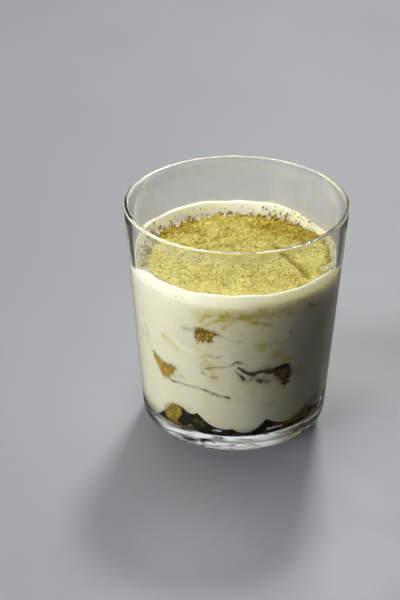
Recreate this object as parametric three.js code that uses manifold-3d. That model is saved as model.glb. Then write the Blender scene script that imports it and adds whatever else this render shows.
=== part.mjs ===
// Green tea tiramisu in a straight tapered tumbler: the glass, the cream that fills it,
// the soaked sponge under the cream, the sponge pieces sunk in both, and the green tea
// powder dusted on top.
// Millimetres, +Z up, origin at the middle of the plane that the foot ring stands on.
// Angles go round the glass in degrees from +X towards +Y; the front is at 270.

import * as THREE from 'three';
import { mergeVertices } from 'three/addons/utils/BufferGeometryUtils.js';
import Module from 'manifold-3d';

// ---- Driving dimensions ----

const CLEARANCE = 0.3;

// Faces round the turned solids, and on each round stretch of their profiles
const SECTORS = 48;
const LIP_STEPS = 3;
const HEEL_STEPS = 3;
const UNDERSIDE_STEPS = 5;
const CORNER_STEPS = 5;

const GLASS = {
  height: 89.4,
  rimRadius: 42,
  footRadius: 36,
  rimThickness: 1.85,
  lowWall: 2.2,
  floor: 5.2,
  floorCrown: 0.6,
  cornerRadius: 8,
  heelRadius: 3.4,
  ringInner: 32,
  punt: 1.3,
  lipRounding: 0.6,
};

// The cream's top is a shallow well: flat in the middle, with a rim of cream left up the
// wall. The rim is a thin collar at the front and a broad slope at the back, and it is lower
// at a few places round the glass.
const CREAM = {
  flat: 66,
  rimTop: 71.2,
  rimThickness: 1.2,
  rimFootFront: 3,
  rimFootBack: 5.8,
  rimBroadest: 125,
  rimHollow: 2.2,
};
const RIM_BROADENS = { from: -0.2, to: 0.7 };
const RIM_DIPS = [
  { angle: 28, spread: 22, depth: 2.5 },
  { angle: 195, spread: 11, depth: 3.3 },
  { angle: 348, spread: 12, depth: 2.4 },
];
const RIPPLES = [
  { height: 0.15, alongX: 0.13, alongY: 0.21, start: 0 },
  { height: 0.15, alongX: -0.1, alongY: 0.24, start: 1.3 },
];
const FLAT_RING_SHARES = [0, 0.45, 0.78, 1];
const SLOPE_RING_SHARES = [0.3, 0.6, 0.8, 1];

// The cream sags into the soaked sponge in round lobes, each lowest at its own angle.
const LOBE_RISE = 4.2;
const LOBE_CEILING = 17.2;
const SEAM_MIDDLE = 12;
const SEAM_FLAT = 14;
const SEAM_RINGS = [0, 16, 26, 31];
const FRONT_LOBES = [
  { angle: 203, halfWidth: 15.5, low: 6.2 },
  { angle: 243.3, halfWidth: 7.6, low: 14.9 },
  { angle: 264.6, halfWidth: 14, low: 10.5 },
  { angle: 277.3, halfWidth: 11.2, low: 9 },
  { angle: 305, halfWidth: 16.8, low: 11.2 },
];
const BACK_LOBES = {
  first: 334,
  step: 27,
  count: 8,
  halfWidth: 15,
  low: 11,
  spread: 1.6,
  turnBetween: 2.4,
};

const POWDER = { thickness: 0.9, edgeThickness: 0.45, thinning: 4, radius: 34.6, waver: 0.7 };
const POWDER_WAVES = [{ turns: 3, start: 1 }, { turns: 5, start: 0 }];
const POWDER_RING_SHARES = [0, 0.4, 0.72, 0.92, 1];

// Pieces of sponge finger. Each shows at the glass between its low and high levels.
const SPONGES = [
  { name: 'sponge_upper_front', angle: 254, low: 49.9, high: 56.4, width: 7.4, depth: 15, lean: -8 },
  { name: 'sponge_middle_left', angle: 224.5, low: 28.8, high: 37.2, width: 11, depth: 17, lean: 14 },
  { name: 'sponge_middle_right', angle: 299.5, low: 28.6, high: 39.4, width: 8.4, depth: 18, lean: 9 },
  { name: 'sponge_upper_back', angle: 72, low: 50.5, high: 58, width: 10, depth: 17, lean: 10 },
  { name: 'sponge_middle_back', angle: 118, low: 29, high: 37.5, width: 12, depth: 17, lean: -12 },
  { name: 'sponge_middle_far_right', angle: 22, low: 33, high: 41.5, width: 9, depth: 16, lean: 6 },
  { name: 'sponge_upper_left', angle: 160, low: 47, high: 54, width: 8.5, depth: 15, lean: -6 },
  { name: 'sponge_base_left', angle: 229, low: 6.6, high: 17, width: 8.4, depth: 11, lean: 4 },
  { name: 'sponge_base_right', angle: 316, low: 7.2, high: 15.4, width: 13, depth: 12, lean: -10 },
  { name: 'sponge_base_back', angle: 84, low: 6.8, high: 16, width: 12, depth: 12, lean: 8 },
  { name: 'sponge_base_far_left', angle: 146, low: 6.8, high: 15, width: 10, depth: 12, lean: -7 },
];
const SPONGE_OVERRUN = 2;
const BRICK_POWER = 4;
const SPONGE_LUMP = { height: 0.07, alongX: 4, alongY: 3, alongZ: -4, turnX: 5, turnYZ: 3 };

// Levels past the whole part, where the cutting solids end, and one just above the food
const FAR_ABOVE = 120;
const FAR_BELOW = -20;
const FILL_TOP = 79.4;

const COLOURS = {
  glass: 0xdfe8e4,
  cream: 0xe6e0c8,
  soaked: 0x2b2a17,
  sponge: 0x9a7a35,
  soakedSponge: 0x8a6a22,
  powder: 0xb5ac55,
};

// ---- Small tools ----

const radians = THREE.MathUtils.degToRad;
const mix = THREE.MathUtils.lerp;
const point = (r, z) => new THREE.Vector2(r, z);

// Signed difference between two angles in degrees, from -180 to 180.
const angleBetween = (a, b) => THREE.MathUtils.euclideanModulo(a - b + 180, 360) - 180;

const angleAt = (x, y) => THREE.MathUtils.radToDeg(Math.atan2(y, x));

function arc(centre, radius, startAngle, endAngle, steps) {
  return Array.from({ length: steps + 1 }, (_, step) => {
    const angle = radians(mix(startAngle, endAngle, step / steps));
    return point(centre.x + radius * Math.cos(angle), centre.y + radius * Math.sin(angle));
  });
}

// A turned solid about +Z, from a profile that starts and ends on the axis.
function turned(profile) {
  return new THREE.LatheGeometry(profile, SECTORS).rotateX(Math.PI / 2);
}

// Moves every vertex of a geometry to where the given function puts it.
function reshape(geometry, move) {
  const places = geometry.attributes.position;
  const vertex = new THREE.Vector3();
  for (let i = 0; i < places.count; i += 1) {
    vertex.fromBufferAttribute(places, i);
    move(vertex);
    places.setXYZ(i, vertex.x, vertex.y, vertex.z);
  }
  return geometry;
}

const wasm = await Module();
wasm.setup();

function toSolid(geometry) {
  const bare = geometry.clone();
  bare.deleteAttribute('normal');
  bare.deleteAttribute('uv');
  const merged = mergeVertices(bare, 1e-3);
  return new wasm.Manifold(new wasm.Mesh({
    numProp: 3,
    vertProperties: new Float32Array(merged.attributes.position.array),
    triVerts: new Uint32Array(merged.index.array),
  }));
}

function toGeometry(solid) {
  const mesh = solid.getMesh();
  const geometry = new THREE.BufferGeometry();
  geometry.setAttribute('position', new THREE.BufferAttribute(new Float32Array(mesh.vertProperties), 3));
  geometry.setIndex(new THREE.BufferAttribute(new Uint32Array(mesh.triVerts), 1));
  geometry.computeVertexNormals();
  return geometry;
}

// ---- Glass ----

const outerRadius = (z) => mix(GLASS.footRadius, GLASS.rimRadius, z / GLASS.height);
const wallAt = (z) => mix(GLASS.lowWall, GLASS.rimThickness, z / GLASS.height);
const innerRadius = (z) => outerRadius(z) - wallAt(z);
const cornerHeight = GLASS.floor + GLASS.cornerRadius;
const cornerCentre = point(innerRadius(cornerHeight) - GLASS.cornerRadius, cornerHeight);

// The floor inside the glass is a low crown that ends where the round corner begins.
function floorPoints(lift, steps) {
  return Array.from({ length: steps + 1 }, (_, step) => {
    const share = step / steps;
    return point(cornerCentre.x * share, GLASS.floor + lift + GLASS.floorCrown * (1 - share * share));
  });
}

function glassGeometry() {
  const lipHeight = GLASS.height - GLASS.lipRounding;
  const outerLip = point(GLASS.rimRadius - GLASS.lipRounding, lipHeight);
  const innerLip = point(GLASS.rimRadius - GLASS.rimThickness + GLASS.lipRounding, lipHeight);
  const heelCentre = point(outerRadius(GLASS.heelRadius) - GLASS.heelRadius, GLASS.heelRadius);
  const underside = Array.from({ length: UNDERSIDE_STEPS }, (_, step) => {
    const angle = radians(90 * step / UNDERSIDE_STEPS);
    return point(GLASS.ringInner * Math.sin(angle), GLASS.punt * Math.cos(angle));
  });
  const profile = [
    ...underside,
    point(GLASS.ringInner, 0),
    ...arc(heelCentre, GLASS.heelRadius, -90, 0, HEEL_STEPS),
    ...arc(outerLip, GLASS.lipRounding, 0, 90, LIP_STEPS),
    ...arc(innerLip, GLASS.lipRounding, 90, 180, LIP_STEPS),
    ...arc(cornerCentre, GLASS.cornerRadius, 0, -90, CORNER_STEPS),
    ...floorPoints(0, 2).reverse().slice(1),
  ];
  return turned(profile);
}

// ---- Space inside the glass ----

// Everything inside the glass up to the rim, with the clearance kept to the wall.
function fillSolid() {
  const profile = [
    ...floorPoints(CLEARANCE, 1),
    ...arc(cornerCentre, GLASS.cornerRadius - CLEARANCE, -90, 0, CORNER_STEPS).slice(1),
    point(innerRadius(FILL_TOP) - CLEARANCE, FILL_TOP),
    point(0, FILL_TOP),
  ];
  return toSolid(turned(profile));
}

// The solid between a surface z(x, y) and a flat face far below or far above it.
function boundedBySurface(height, far, rings) {
  const reach = GLASS.rimRadius;
  const onSurface = rings.map((r) => point(r, 0));
  const farSide = [point(reach, far), point(0, far)];
  const profile = far < 0 ? [...farSide.reverse(), ...onSurface.toReversed()] : [...onSurface, ...farSide];
  return toSolid(reshape(turned(profile), (vertex) => {
    if (Math.abs(vertex.z) < 1e-6) {
      vertex.z = height(vertex.x, vertex.y);
    }
  }));
}

// ---- Cream ----

function rimTopAt(angle) {
  return RIM_DIPS.reduce((top, dip) => {
    const away = angleBetween(angle, dip.angle) / dip.spread;
    return top - dip.depth * Math.exp(-away * away);
  }, CREAM.rimTop);
}

function rippleAt(x, y) {
  return RIPPLES.reduce((height, wave) => (
    height + wave.height * Math.sin(wave.alongX * x + wave.alongY * y + wave.start)
  ), 0);
}

// How far in from the wall the rim begins to rise from the flat.
function rimFootAt(angle) {
  const towardsBroadest = Math.cos(radians(angle - CREAM.rimBroadest));
  const breadth = THREE.MathUtils.smoothstep(towardsBroadest, RIM_BROADENS.from, RIM_BROADENS.to);
  return mix(CREAM.rimFootFront, CREAM.rimFootBack, breadth);
}

// Height of the cream's top: the rippled flat, a hollow curve up to the rim, the rim.
function creamTop(x, y) {
  const angle = angleAt(x, y);
  const wall = innerRadius(CREAM.rimTop) - CLEARANCE;
  const foot = rimFootAt(angle);
  const climb = (Math.hypot(x, y) - (wall - foot)) / (foot - CREAM.rimThickness);
  const share = THREE.MathUtils.clamp(climb, 0, 1);
  return mix(CREAM.flat + rippleAt(x, y), rimTopAt(angle), share ** CREAM.rimHollow);
}

function creamTopRings() {
  const wall = innerRadius(CREAM.rimTop) - CLEARANCE;
  const foot = wall - CREAM.rimFootBack;
  const crest = wall - CREAM.rimThickness;
  const flatRings = FLAT_RING_SHARES.map((share) => share * foot);
  const slopeRings = SLOPE_RING_SHARES.map((share) => mix(foot, crest, share));
  return [...flatRings, ...slopeRings, GLASS.rimRadius];
}

const backLobes = Array.from({ length: BACK_LOBES.count }, (_, i) => ({
  angle: BACK_LOBES.first + BACK_LOBES.step * i,
  halfWidth: BACK_LOBES.halfWidth,
  low: BACK_LOBES.low + BACK_LOBES.spread * Math.sin(BACK_LOBES.turnBetween * i),
}));

// Level at the wall where the cream ends and the soaked sponge begins.
function lobeEdge(angle) {
  return [...FRONT_LOBES, ...backLobes].reduce((level, lobe) => {
    const away = angleBetween(angle, lobe.angle) / lobe.halfWidth;
    return Math.min(level, lobe.low + LOBE_RISE * away * away);
  }, LOBE_CEILING);
}

function seamHeight(x, y) {
  const share = THREE.MathUtils.smoothstep(Math.hypot(x, y), SEAM_FLAT, innerRadius(SEAM_MIDDLE));
  return mix(SEAM_MIDDLE, lobeEdge(angleAt(x, y)), share);
}

// ---- Sponge pieces ----

// A brick with round edges and a lumpy skin, lying along a radius with its outer end
// past the wall. The wall then trims it. Growth makes the pocket that it lies in.
function spongeSolid(piece, growth) {
  const middle = (piece.low + piece.high) / 2;
  const half = new THREE.Vector3(
    (piece.depth + SPONGE_OVERRUN) / 2,
    piece.width / 2,
    (piece.high - piece.low) / 2,
  ).addScalar(growth);
  const seed = radians(piece.angle);
  const brick = new THREE.SphereGeometry(1, 10, 7).rotateX(Math.PI / 2);
  reshape(brick, (vertex) => {
    const sum = ['x', 'y', 'z'].reduce((total, axis) => total + Math.abs(vertex[axis]) ** BRICK_POWER, 0);
    const { height, alongX, alongY, alongZ, turnX, turnYZ } = SPONGE_LUMP;
    const lump = Math.sin(alongX * vertex.x + turnX * seed)
      * Math.cos(alongY * vertex.y + alongZ * vertex.z + turnYZ * seed);
    vertex.multiplyScalar((1 + height * lump) / sum ** (1 / BRICK_POWER)).multiply(half);
  });
  brick.rotateX(radians(piece.lean));
  brick.translate(innerRadius(middle) + SPONGE_OVERRUN - half.x + growth, 0, middle);
  brick.rotateZ(seed);
  return toSolid(brick);
}

// ---- Powder ----

// A thin round sheet that follows the cream's top and thins towards a wavering edge.
function powderGeometry() {
  const lower = POWDER_RING_SHARES.map((share) => point(share, -1));
  const upper = POWDER_RING_SHARES.map((share) => point(share, 1)).reverse();
  return reshape(turned([...lower, ...upper]), (vertex) => {
    const share = Math.hypot(vertex.x, vertex.y);
    const turn = Math.atan2(vertex.y, vertex.x);
    const wave = POWDER_WAVES.reduce((product, { turns, start }) => (
      product * Math.sin(turns * turn + start)
    ), 1);
    const edge = POWDER.radius + POWDER.waver * wave;
    const thickness = mix(POWDER.thickness, POWDER.edgeThickness, share ** POWDER.thinning);
    const top = vertex.z > 0;
    vertex.x *= edge;
    vertex.y *= edge;
    vertex.z = creamTop(vertex.x, vertex.y) + CLEARANCE + (top ? thickness : 0);
  });
}

// ---- Assembly ----

const fill = fillSolid();
const sponges = SPONGES.map((piece) => ({
  name: piece.name,
  solid: spongeSolid(piece, 0).intersect(fill),
  pocket: spongeSolid(piece, CLEARANCE),
}));
const carve = (solid) => sponges.reduce((rest, sponge) => rest.subtract(sponge.pocket), solid);

const seamRings = [...SEAM_RINGS, GLASS.rimRadius];
const aboveCream = boundedBySurface(creamTop, FAR_ABOVE, creamTopRings());
const underSeam = (lift) => boundedBySurface((x, y) => seamHeight(x, y) + lift, FAR_BELOW, seamRings);
const cream = carve(fill.subtract(aboveCream).subtract(underSeam(CLEARANCE / 2)));
const soakedBase = carve(fill.intersect(underSeam(-CLEARANCE / 2)));

const tiramisu = new THREE.Group();

function addPart(name, geometry, colour, roughness) {
  const material = new THREE.MeshStandardMaterial({ color: colour, roughness, metalness: 0 });
  const mesh = new THREE.Mesh(geometry, material);
  mesh.name = name;
  tiramisu.add(mesh);
  return mesh;
}

const glass = addPart('glass', toGeometry(toSolid(glassGeometry())), COLOURS.glass, 0.03);
glass.material.transparent = true;
glass.material.opacity = 0.3;
addPart('cream', toGeometry(cream), COLOURS.cream, 0.4);
addPart('soaked_base', toGeometry(soakedBase), COLOURS.soaked, 0.15);
addPart('tea_powder', toGeometry(toSolid(powderGeometry())), COLOURS.powder, 0.95);
for (const sponge of sponges) {
  const colour = sponge.name.includes('base') ? COLOURS.soakedSponge : COLOURS.sponge;
  addPart(sponge.name, toGeometry(sponge.solid), colour, 0.85);
}

export default tiramisu;
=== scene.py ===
"""Looks of a green tea tiramisu in a glass tumbler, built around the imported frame.

Points are worked out in millimetres, +Z up, and become metres when a mesh is made. Angles go
round the glass in degrees from +X towards +Y, and the front is at 270.
"""

import math
from typing import NamedTuple

import bpy
import numpy as np
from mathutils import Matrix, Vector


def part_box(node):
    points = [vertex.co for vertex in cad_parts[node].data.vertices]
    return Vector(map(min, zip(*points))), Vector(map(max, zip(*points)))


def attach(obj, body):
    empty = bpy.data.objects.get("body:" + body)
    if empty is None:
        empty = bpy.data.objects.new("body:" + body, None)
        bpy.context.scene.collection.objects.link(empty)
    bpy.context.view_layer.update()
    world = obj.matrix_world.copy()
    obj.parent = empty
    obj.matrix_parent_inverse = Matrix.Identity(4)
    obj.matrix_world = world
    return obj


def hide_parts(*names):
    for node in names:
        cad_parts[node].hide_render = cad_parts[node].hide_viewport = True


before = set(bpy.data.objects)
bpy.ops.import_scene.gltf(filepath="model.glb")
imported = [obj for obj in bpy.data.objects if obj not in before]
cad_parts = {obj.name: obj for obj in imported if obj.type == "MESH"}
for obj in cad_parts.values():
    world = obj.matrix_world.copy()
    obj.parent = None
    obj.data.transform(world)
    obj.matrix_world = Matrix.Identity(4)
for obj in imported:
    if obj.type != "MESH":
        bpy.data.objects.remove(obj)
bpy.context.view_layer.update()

bl_info = {
    "name": "Tiramisu Builder",
    "version": (1, 0, 0),
    "blender": (4, 5, 0),
    "location": "View3D > Sidebar > Tiramisu",
    "description": "Makes a green tea tiramisu in a glass tumbler, piece by piece",
    "category": "Object",
}

MM = 0.001
FRONT = 270
GLASS_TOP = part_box("glass")[1]
CREAM_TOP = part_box("cream")[1]
SPONGE_NAMES = sorted(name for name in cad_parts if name.startswith("sponge_"))

# ---- Noise ----

OCTAVE_SHARE = 0.55


def whole_number_hash(x, y, z, seed):
    """A number from -1 to 1 for each triple of whole numbers: their bits multiplied and mixed."""
    mixed = ((x * 73856093) ^ (y * 19349663) ^ (z * 83492791) ^ (seed * 40503)) & 0xFFFFFFFF
    mixed = ((mixed ^ (mixed >> 13)) * 1274126177) & 0xFFFFFFFF
    return ((mixed ^ (mixed >> 16)) & 0xFFFF) / 32767.5 - 1


def soft_noise(points, size, seed=0):
    """Value noise: the hash at the corners of cubes of the given size, blended by smoothstep."""
    scaled = points / size
    cell = np.floor(scaled).astype(np.int64)
    share = scaled - cell
    fade = share * share * (3 - 2 * share)
    total = np.zeros(points.shape[:-1])
    for corner in np.ndindex(2, 2, 2):
        weight = np.prod(np.where(corner, fade, 1 - fade), axis=-1)
        total += weight * whole_number_hash(*np.moveaxis(cell + corner, -1, 0), seed)
    return total


def rough_noise(points, size, octaves, seed=0):
    """Soft noise summed over sizes that halve, each weaker than the one before it by one share."""
    strengths = OCTAVE_SHARE ** np.arange(octaves)
    layers = [soft_noise(points, size / 2**k, seed + k) * strengths[k] for k in range(octaves)]
    return sum(layers) / strengths.sum()


def cell_distance(points, size, seed=0):
    """Distance to the nearest of scattered points, one in each cube, as a share of the size."""
    scaled = points / size
    cell = np.floor(scaled).astype(np.int64)
    nearest = np.full(points.shape[:-1], 9.0)
    for step in np.ndindex(3, 3, 3):
        corner = cell + step - 1
        whole = np.moveaxis(corner, -1, 0)
        place = [whole_number_hash(*whole, seed + axis) / 2 + 0.5 for axis in range(3)]
        away = np.linalg.norm(corner + np.stack(place, axis=-1) - scaled, axis=-1)
        nearest = np.minimum(nearest, away)
    return nearest


def smoothstep(value, low, high):
    """0 up to low, 1 from high on, and an even S curve between."""
    share = np.clip((value - low) / (high - low), 0, 1)
    return share * share * (3 - 2 * share)


def fade_out(value, low, high):
    """1 up to low, 0 from high on, and an even S curve between."""
    return smoothstep(-value, -high, -low)


def mix(start, end, share):
    return start + (end - start) * share


def bell(away):
    """1 where away is 0, falling on both sides as exp(-away^2)."""
    return np.exp(-(away**2))


# ---- Places ----


def around(radius, angle, height):
    """Points from a radius, an angle in degrees and a height, as arrays that fit each other."""
    turn = np.radians(angle)
    axes = np.broadcast_arrays(radius * np.cos(turn), radius * np.sin(turn), height)
    return np.stack(axes, axis=-1)


def angle_between(angle, start):
    """Signed difference of two angles in degrees, from -180 to 180."""
    return (angle - start + 180) % 360 - 180


def angle_of(points):
    return np.degrees(np.arctan2(points[..., 1], points[..., 0]))


def route_distance(places, route, closed=False):
    """Distance from each flat place to the nearest point of a route of straight stretches."""
    route = np.asarray(route, float)
    ends = np.roll(route, -1, axis=0) if closed else route[1:]
    nearest = np.full(places.shape[:-1], np.inf)
    for start, end in zip(route, ends):
        stretch = end - start
        along = np.clip((places - start) @ stretch / (stretch @ stretch), 0, 1)
        away = np.linalg.norm(places - start - along[..., None] * stretch, axis=-1)
        nearest = np.minimum(nearest, away)
    return nearest


def is_inside(places, corners):
    """True where a level line from the place crosses the closed outline an odd number of times."""
    corners = np.asarray(corners, float)
    x, y = places[..., 0], places[..., 1]
    odd = np.zeros(x.shape, bool)
    for start, end in zip(corners, np.roll(corners, -1, axis=0)):
        spans = (start[1] > y) != (end[1] > y)
        rise = end[1] - start[1] or 1.0
        odd ^= spans & (x < start[0] + (y - start[1]) / rise * (end[0] - start[0]))
    return odd


def outline_depth(places, corners):
    """Distance to a closed outline, positive inside it and negative outside."""
    away = route_distance(places, corners, closed=True)
    return np.where(is_inside(places, corners), away, -away)


# ---- Meshes ----


def skin(first, rings, last):
    """A closed skin: rings of points from one pole to the other, each ring joined to the next.

    Rings that run from the underside's middle outwards, up and back in give faces that point out.
    """
    rows, columns = rings.shape[:2]
    points = np.concatenate([[first], rings.reshape(-1, 3), [last]])
    here = np.arange(columns)
    after = (here + 1) % columns
    row = 1 + columns * np.arange(rows - 1)[:, None]
    quads = np.stack([row + here, row + after, row + columns + after, row + columns + here], axis=-1)
    top = 1 + columns * (rows - 1)
    foot_fan = np.stack([np.zeros_like(here), 1 + after, 1 + here], axis=-1)
    crown_fan = np.stack([np.full_like(here, len(points) - 1), top + here, top + after], axis=-1)
    return points, quads.reshape(-1, 4), np.concatenate([foot_fan, crown_fan])


def band(rings):
    """A closed ring-shaped skin: the last ring of points is joined to the first."""
    rows, columns = rings.shape[:2]
    here = np.arange(columns)
    after = (here + 1) % columns
    row = columns * np.arange(rows)[:, None]
    next_row = (row + columns) % (rows * columns)
    quads = np.stack([row + here, row + after, next_row + after, next_row + here], axis=-1)
    return rings.reshape(-1, 3), quads.reshape(-1, 4), np.zeros((0, 3), int)


def new_object(name, points, quads, triangles, material, attributes=None):
    """Puts points in millimetres and faces into a mesh in metres, with float attributes."""
    mesh = bpy.data.meshes.new(name)
    corners = np.concatenate([quads.ravel(), triangles.ravel()]).astype(np.int32)
    sizes = np.repeat([4, 3], [len(quads), len(triangles)])
    mesh.vertices.add(len(points))
    mesh.vertices.foreach_set("co", (points * MM).astype(np.float32).ravel())
    mesh.loops.add(len(corners))
    mesh.loops.foreach_set("vertex_index", corners)
    mesh.polygons.add(len(sizes))
    mesh.polygons.foreach_set("loop_start", (np.cumsum(sizes) - sizes).astype(np.int32))
    mesh.update(calc_edges=True)
    mesh.polygons.foreach_set("use_smooth", np.ones(len(sizes), bool))
    for key, values in (attributes or {}).items():
        layer = mesh.attributes.new(key, "FLOAT", "POINT")
        layer.data.foreach_set("value", values.astype(np.float32).ravel())
    mesh.materials.append(material)
    thing = bpy.data.objects.new(name, mesh)
    bpy.context.scene.collection.objects.link(thing)
    return thing


def new_piece(name, shape, material, nodes=(), attributes=None):
    """Makes a piece that rides on the one body, and stands for the nodes it is given."""
    if not np.isfinite(shape[0]).all():
        raise RuntimeError(f"{name} has a point that is no number")
    piece = new_object(name, *shape, material, attributes)
    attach(piece, "root")
    if nodes:
        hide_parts(*nodes)
    return piece


# ---- Materials ----


class Recipe:
    """A material's nodes, with short calls that add one and give back its output."""

    def __init__(self, name):
        self.material = bpy.data.materials.new(name)
        self.material.use_nodes = True
        self.tree = self.material.node_tree
        self.tree.nodes.clear()
        self.place = self.node("ShaderNodeTexCoord").outputs["Object"]

    def node(self, kind, inputs=None, **settings):
        node = self.tree.nodes.new(kind)
        for key, value in settings.items():
            setattr(node, key, value)
        for key, value in (inputs or {}).items():
            self.feed(node.inputs[key], value)
        return node

    def feed(self, socket, value):
        if isinstance(value, bpy.types.NodeSocket):
            self.tree.links.new(value, socket)
        elif socket.type == "RGBA":
            socket.default_value = (*value, 1.0) if len(value) == 3 else value
        else:
            socket.default_value = value

    def noise(self, size, detail=3.0, stretch=(1, 1, 1)):
        """Noise from 0 to 1 whose blobs are about the given size in millimetres."""
        place = self.node("ShaderNodeMapping", {"Vector": self.place, "Scale": stretch})
        inputs = {"Vector": place.outputs[0], "Scale": 1 / (size * MM), "Detail": detail}
        return self.node("ShaderNodeTexNoise", inputs).outputs["Fac"]

    def attribute(self, name):
        return self.node("ShaderNodeAttribute", attribute_name=name).outputs["Fac"]

    def levels(self, value, low, high, start=0.0, end=1.0):
        """Maps low..high to start..end, held at both ends."""
        inputs = {0: value, 1: low, 2: high, 3: start, 4: end}
        return self.node("ShaderNodeMapRange", inputs).outputs[0]

    def patches(self, size, detail, low, high, start=0.0, end=1.0):
        """Noise of about the given size, mapped from low..high to start..end."""
        return self.levels(self.noise(size, detail), low, high, start, end)

    def maths(self, operation, a, b=0.0):
        return self.node("ShaderNodeMath", {0: a, 1: b}, operation=operation).outputs[0]

    def blend(self, factor, a, b):
        """Colour a where the factor is 0 and colour b where it is 1."""
        return self.node("ShaderNodeMix", {0: factor, 6: a, 7: b}, data_type="RGBA").outputs[2]

    def stained_or_painted(self, base, name, stain):
        """The base colour, turned to another where the named attribute is strong: a stain, painted shade
        or painted light.
        """
        return self.blend(self.attribute(name), base, stain)

    def bump(self, height, depth, normal=None):
        inputs = {"Height": height, "Distance": depth * MM}
        if normal is not None:
            inputs["Normal"] = normal
        return self.node("ShaderNodeBump", inputs).outputs[0]

    def surface(self, colour, roughness, **inputs):
        """A Principled shader; a keyword such as Coat_Weight feeds the socket Coat Weight."""
        sockets = {key.replace("_", " "): value for key, value in inputs.items()}
        sockets.update({"Base Color": colour, "Roughness": roughness})
        return self.node("ShaderNodeBsdfPrincipled", sockets).outputs[0]

    def mixed_with_clear(self, factor, shader):
        """The shader where the factor is 0, and nothing at all where it is 1."""
        clear = self.node("ShaderNodeBsdfTransparent").outputs[0]
        return self.node("ShaderNodeMixShader", {0: factor, 1: shader, 2: clear}).outputs[0]

    def finish(self, shader):
        self.node("ShaderNodeOutputMaterial", {"Surface": shader})
        return self.material


def tinted(colour, *factors):
    """A colour with its red, green and blue each scaled, and held at 1."""
    return tuple(min(1, value * factor) for value, factor in zip(colour, factors))


# ---- User settings ----


def length(name, description, millimetres):
    return bpy.props.FloatProperty(
        name=name, description=description, default=millimetres * MM,
        min=0, unit="LENGTH", precision=4,
    )


def colour(name, description, red, green, blue):
    return bpy.props.FloatVectorProperty(
        name=name, description=description, default=(red, green, blue),
        size=3, min=0, max=1, subtype="COLOR",
    )


def power(name, description, watts):
    return bpy.props.FloatProperty(
        name=name, description=description, default=watts, min=0, unit="POWER"
    )


def strength(name, description, value):
    return bpy.props.FloatProperty(name=name, description=description, default=value, min=0)


class TumblerSettings(bpy.types.PropertyGroup):
    """Sizes and colour of the glass."""

    height: length("Height", "From the table to the lip", GLASS_TOP.z / MM)
    rim_radius: length("Rim radius", "Outside radius at the lip", GLASS_TOP.x / MM)
    foot_radius: length("Foot radius", "Outside radius of the wall's line at the table", 36)
    rim_wall: length("Wall at rim", "Thickness of the wall at the lip", 1.85)
    foot_wall: length("Wall at foot", "Thickness of the wall's line at the table", 2.2)
    floor: length("Floor", "Thickness of the glass under the food, at its edge", 5.2)
    tint: colour("Tint", "Colour of the glass", 0.972, 0.985, 0.978)


class CreamSettings(bpy.types.PropertyGroup):
    """Levels and colours of the cream."""

    flat: length("Level", "Height of the cream's flat top", 66)
    rim_top: length("Rim", "Highest level of the cream left up the wall", CREAM_TOP.z / MM)
    ivory: colour("Cream", "Colour of the cream", 0.90, 0.885, 0.73)
    syrup: colour("Tea stain", "Where green tea has run into the cream", 0.62, 0.52, 0.10)
    crumb: colour("Crumb stain", "Where sponge lies just under the cream", 0.17, 0.125, 0.025)
    # This colour paints shade on the cream: air gaps, the crack, fine grooves, the rim's groove and
    # shadows round the sponges
    shade: colour("Painted shade", "Thin lines where the cream is off the glass", 0.06, 0.064, 0.055)


class SpongeSettings(bpy.types.PropertyGroup):
    """Colours of the sponge finger pieces and of the soaked layer."""

    crumb: colour("Crumb", "Dry sponge crumb", 0.72, 0.48, 0.085)
    # The pore colour also paints shade: in the pores, and darker on pieces on the shaded side and on
    # their caps
    pore_and_shade: colour("Pore", "Depth of the crumb's pores", 0.115, 0.07, 0.015)
    soaked: colour("Soaked layer", "Sponge full of dark tea syrup", 0.020, 0.022, 0.012)
    soaked_crumb: colour("Soaked crumb", "Crumbs that show in the soaked layer", 0.24, 0.20, 0.022)


class PowderSettings(bpy.types.PropertyGroup):
    """Size, amount and colours of the green tea powder."""

    thickness: length("Thickness", "Depth of the powder on the cream", 0.9)
    grain: length("Grain", "Largest loose grain", 1.1)
    grain_count: bpy.props.IntProperty(
        name="Grains", description="Loose grains on and round the powder", default=15000, min=0
    )
    powder: colour("Powder", "Fine dry powder", 0.81, 0.72, 0.225)
    clump: colour("Clump", "Damp clumps of powder", 0.40, 0.28, 0.022)


class StageSettings(bpy.types.PropertyGroup):
    """The table and the lights."""

    table: colour("Table", "Colour of the table", 0.32, 0.335, 0.35)
    table_bounce: colour("Table bounce", "Colour of the light it throws back", 0.035, 0.038, 0.045)
    key_power: power("Key light", "Power of the light from behind", 7.0)
    fill_power: power("Fill light", "Power of the light from the left", 6.2)
    top_power: power("Top light", "Power of the light from above", 2.7)
    sky: strength("Sky", "Strength of the light from all round", 0.03)
    glow: strength("Glow", "Strength of the sky's wide bright part behind the glass", 0.85)


SETTINGS = {
    "tiramisu_tumbler": TumblerSettings,
    "tiramisu_cream": CreamSettings,
    "tiramisu_sponge": SpongeSettings,
    "tiramisu_powder": PowderSettings,
    "tiramisu_stage": StageSettings,
}

# ---- The glass's form ----

CORNER_RADIUS = 8.0
FLOOR_CROWN = 0.6
HEEL_RADIUS = 3.4
RING_INNER = 32.0
RING_EDGE = 0.1
PUNT = 1.3
LIP_ROUNDING = 0.6
# A row of points this far under each side of the lip keeps its rounding crisp
LIP_SUPPORT = 0.35
# Points on each round stretch of the half section, and on its straight ones
DOME_START = 4
DOME_STEPS = 14
HEEL_STEPS = 14
LIP_STEPS = 9
CORNER_STEPS = 18
WALL_STEPS = 22
FLOOR_STEPS = 12
GLASS_COLUMNS = 288
# Waves of the cast glass: height and size in the base, and share of the radius on the wall
BASE_WAVES = 0.05
BASE_WAVE_SIZE = 7
BASE_WAVES_END = (3, 14)
FLAT_FOOT = 0.3
WALL_WAVES = 0.0006
WALL_WAVE_SIZE = 16
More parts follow.
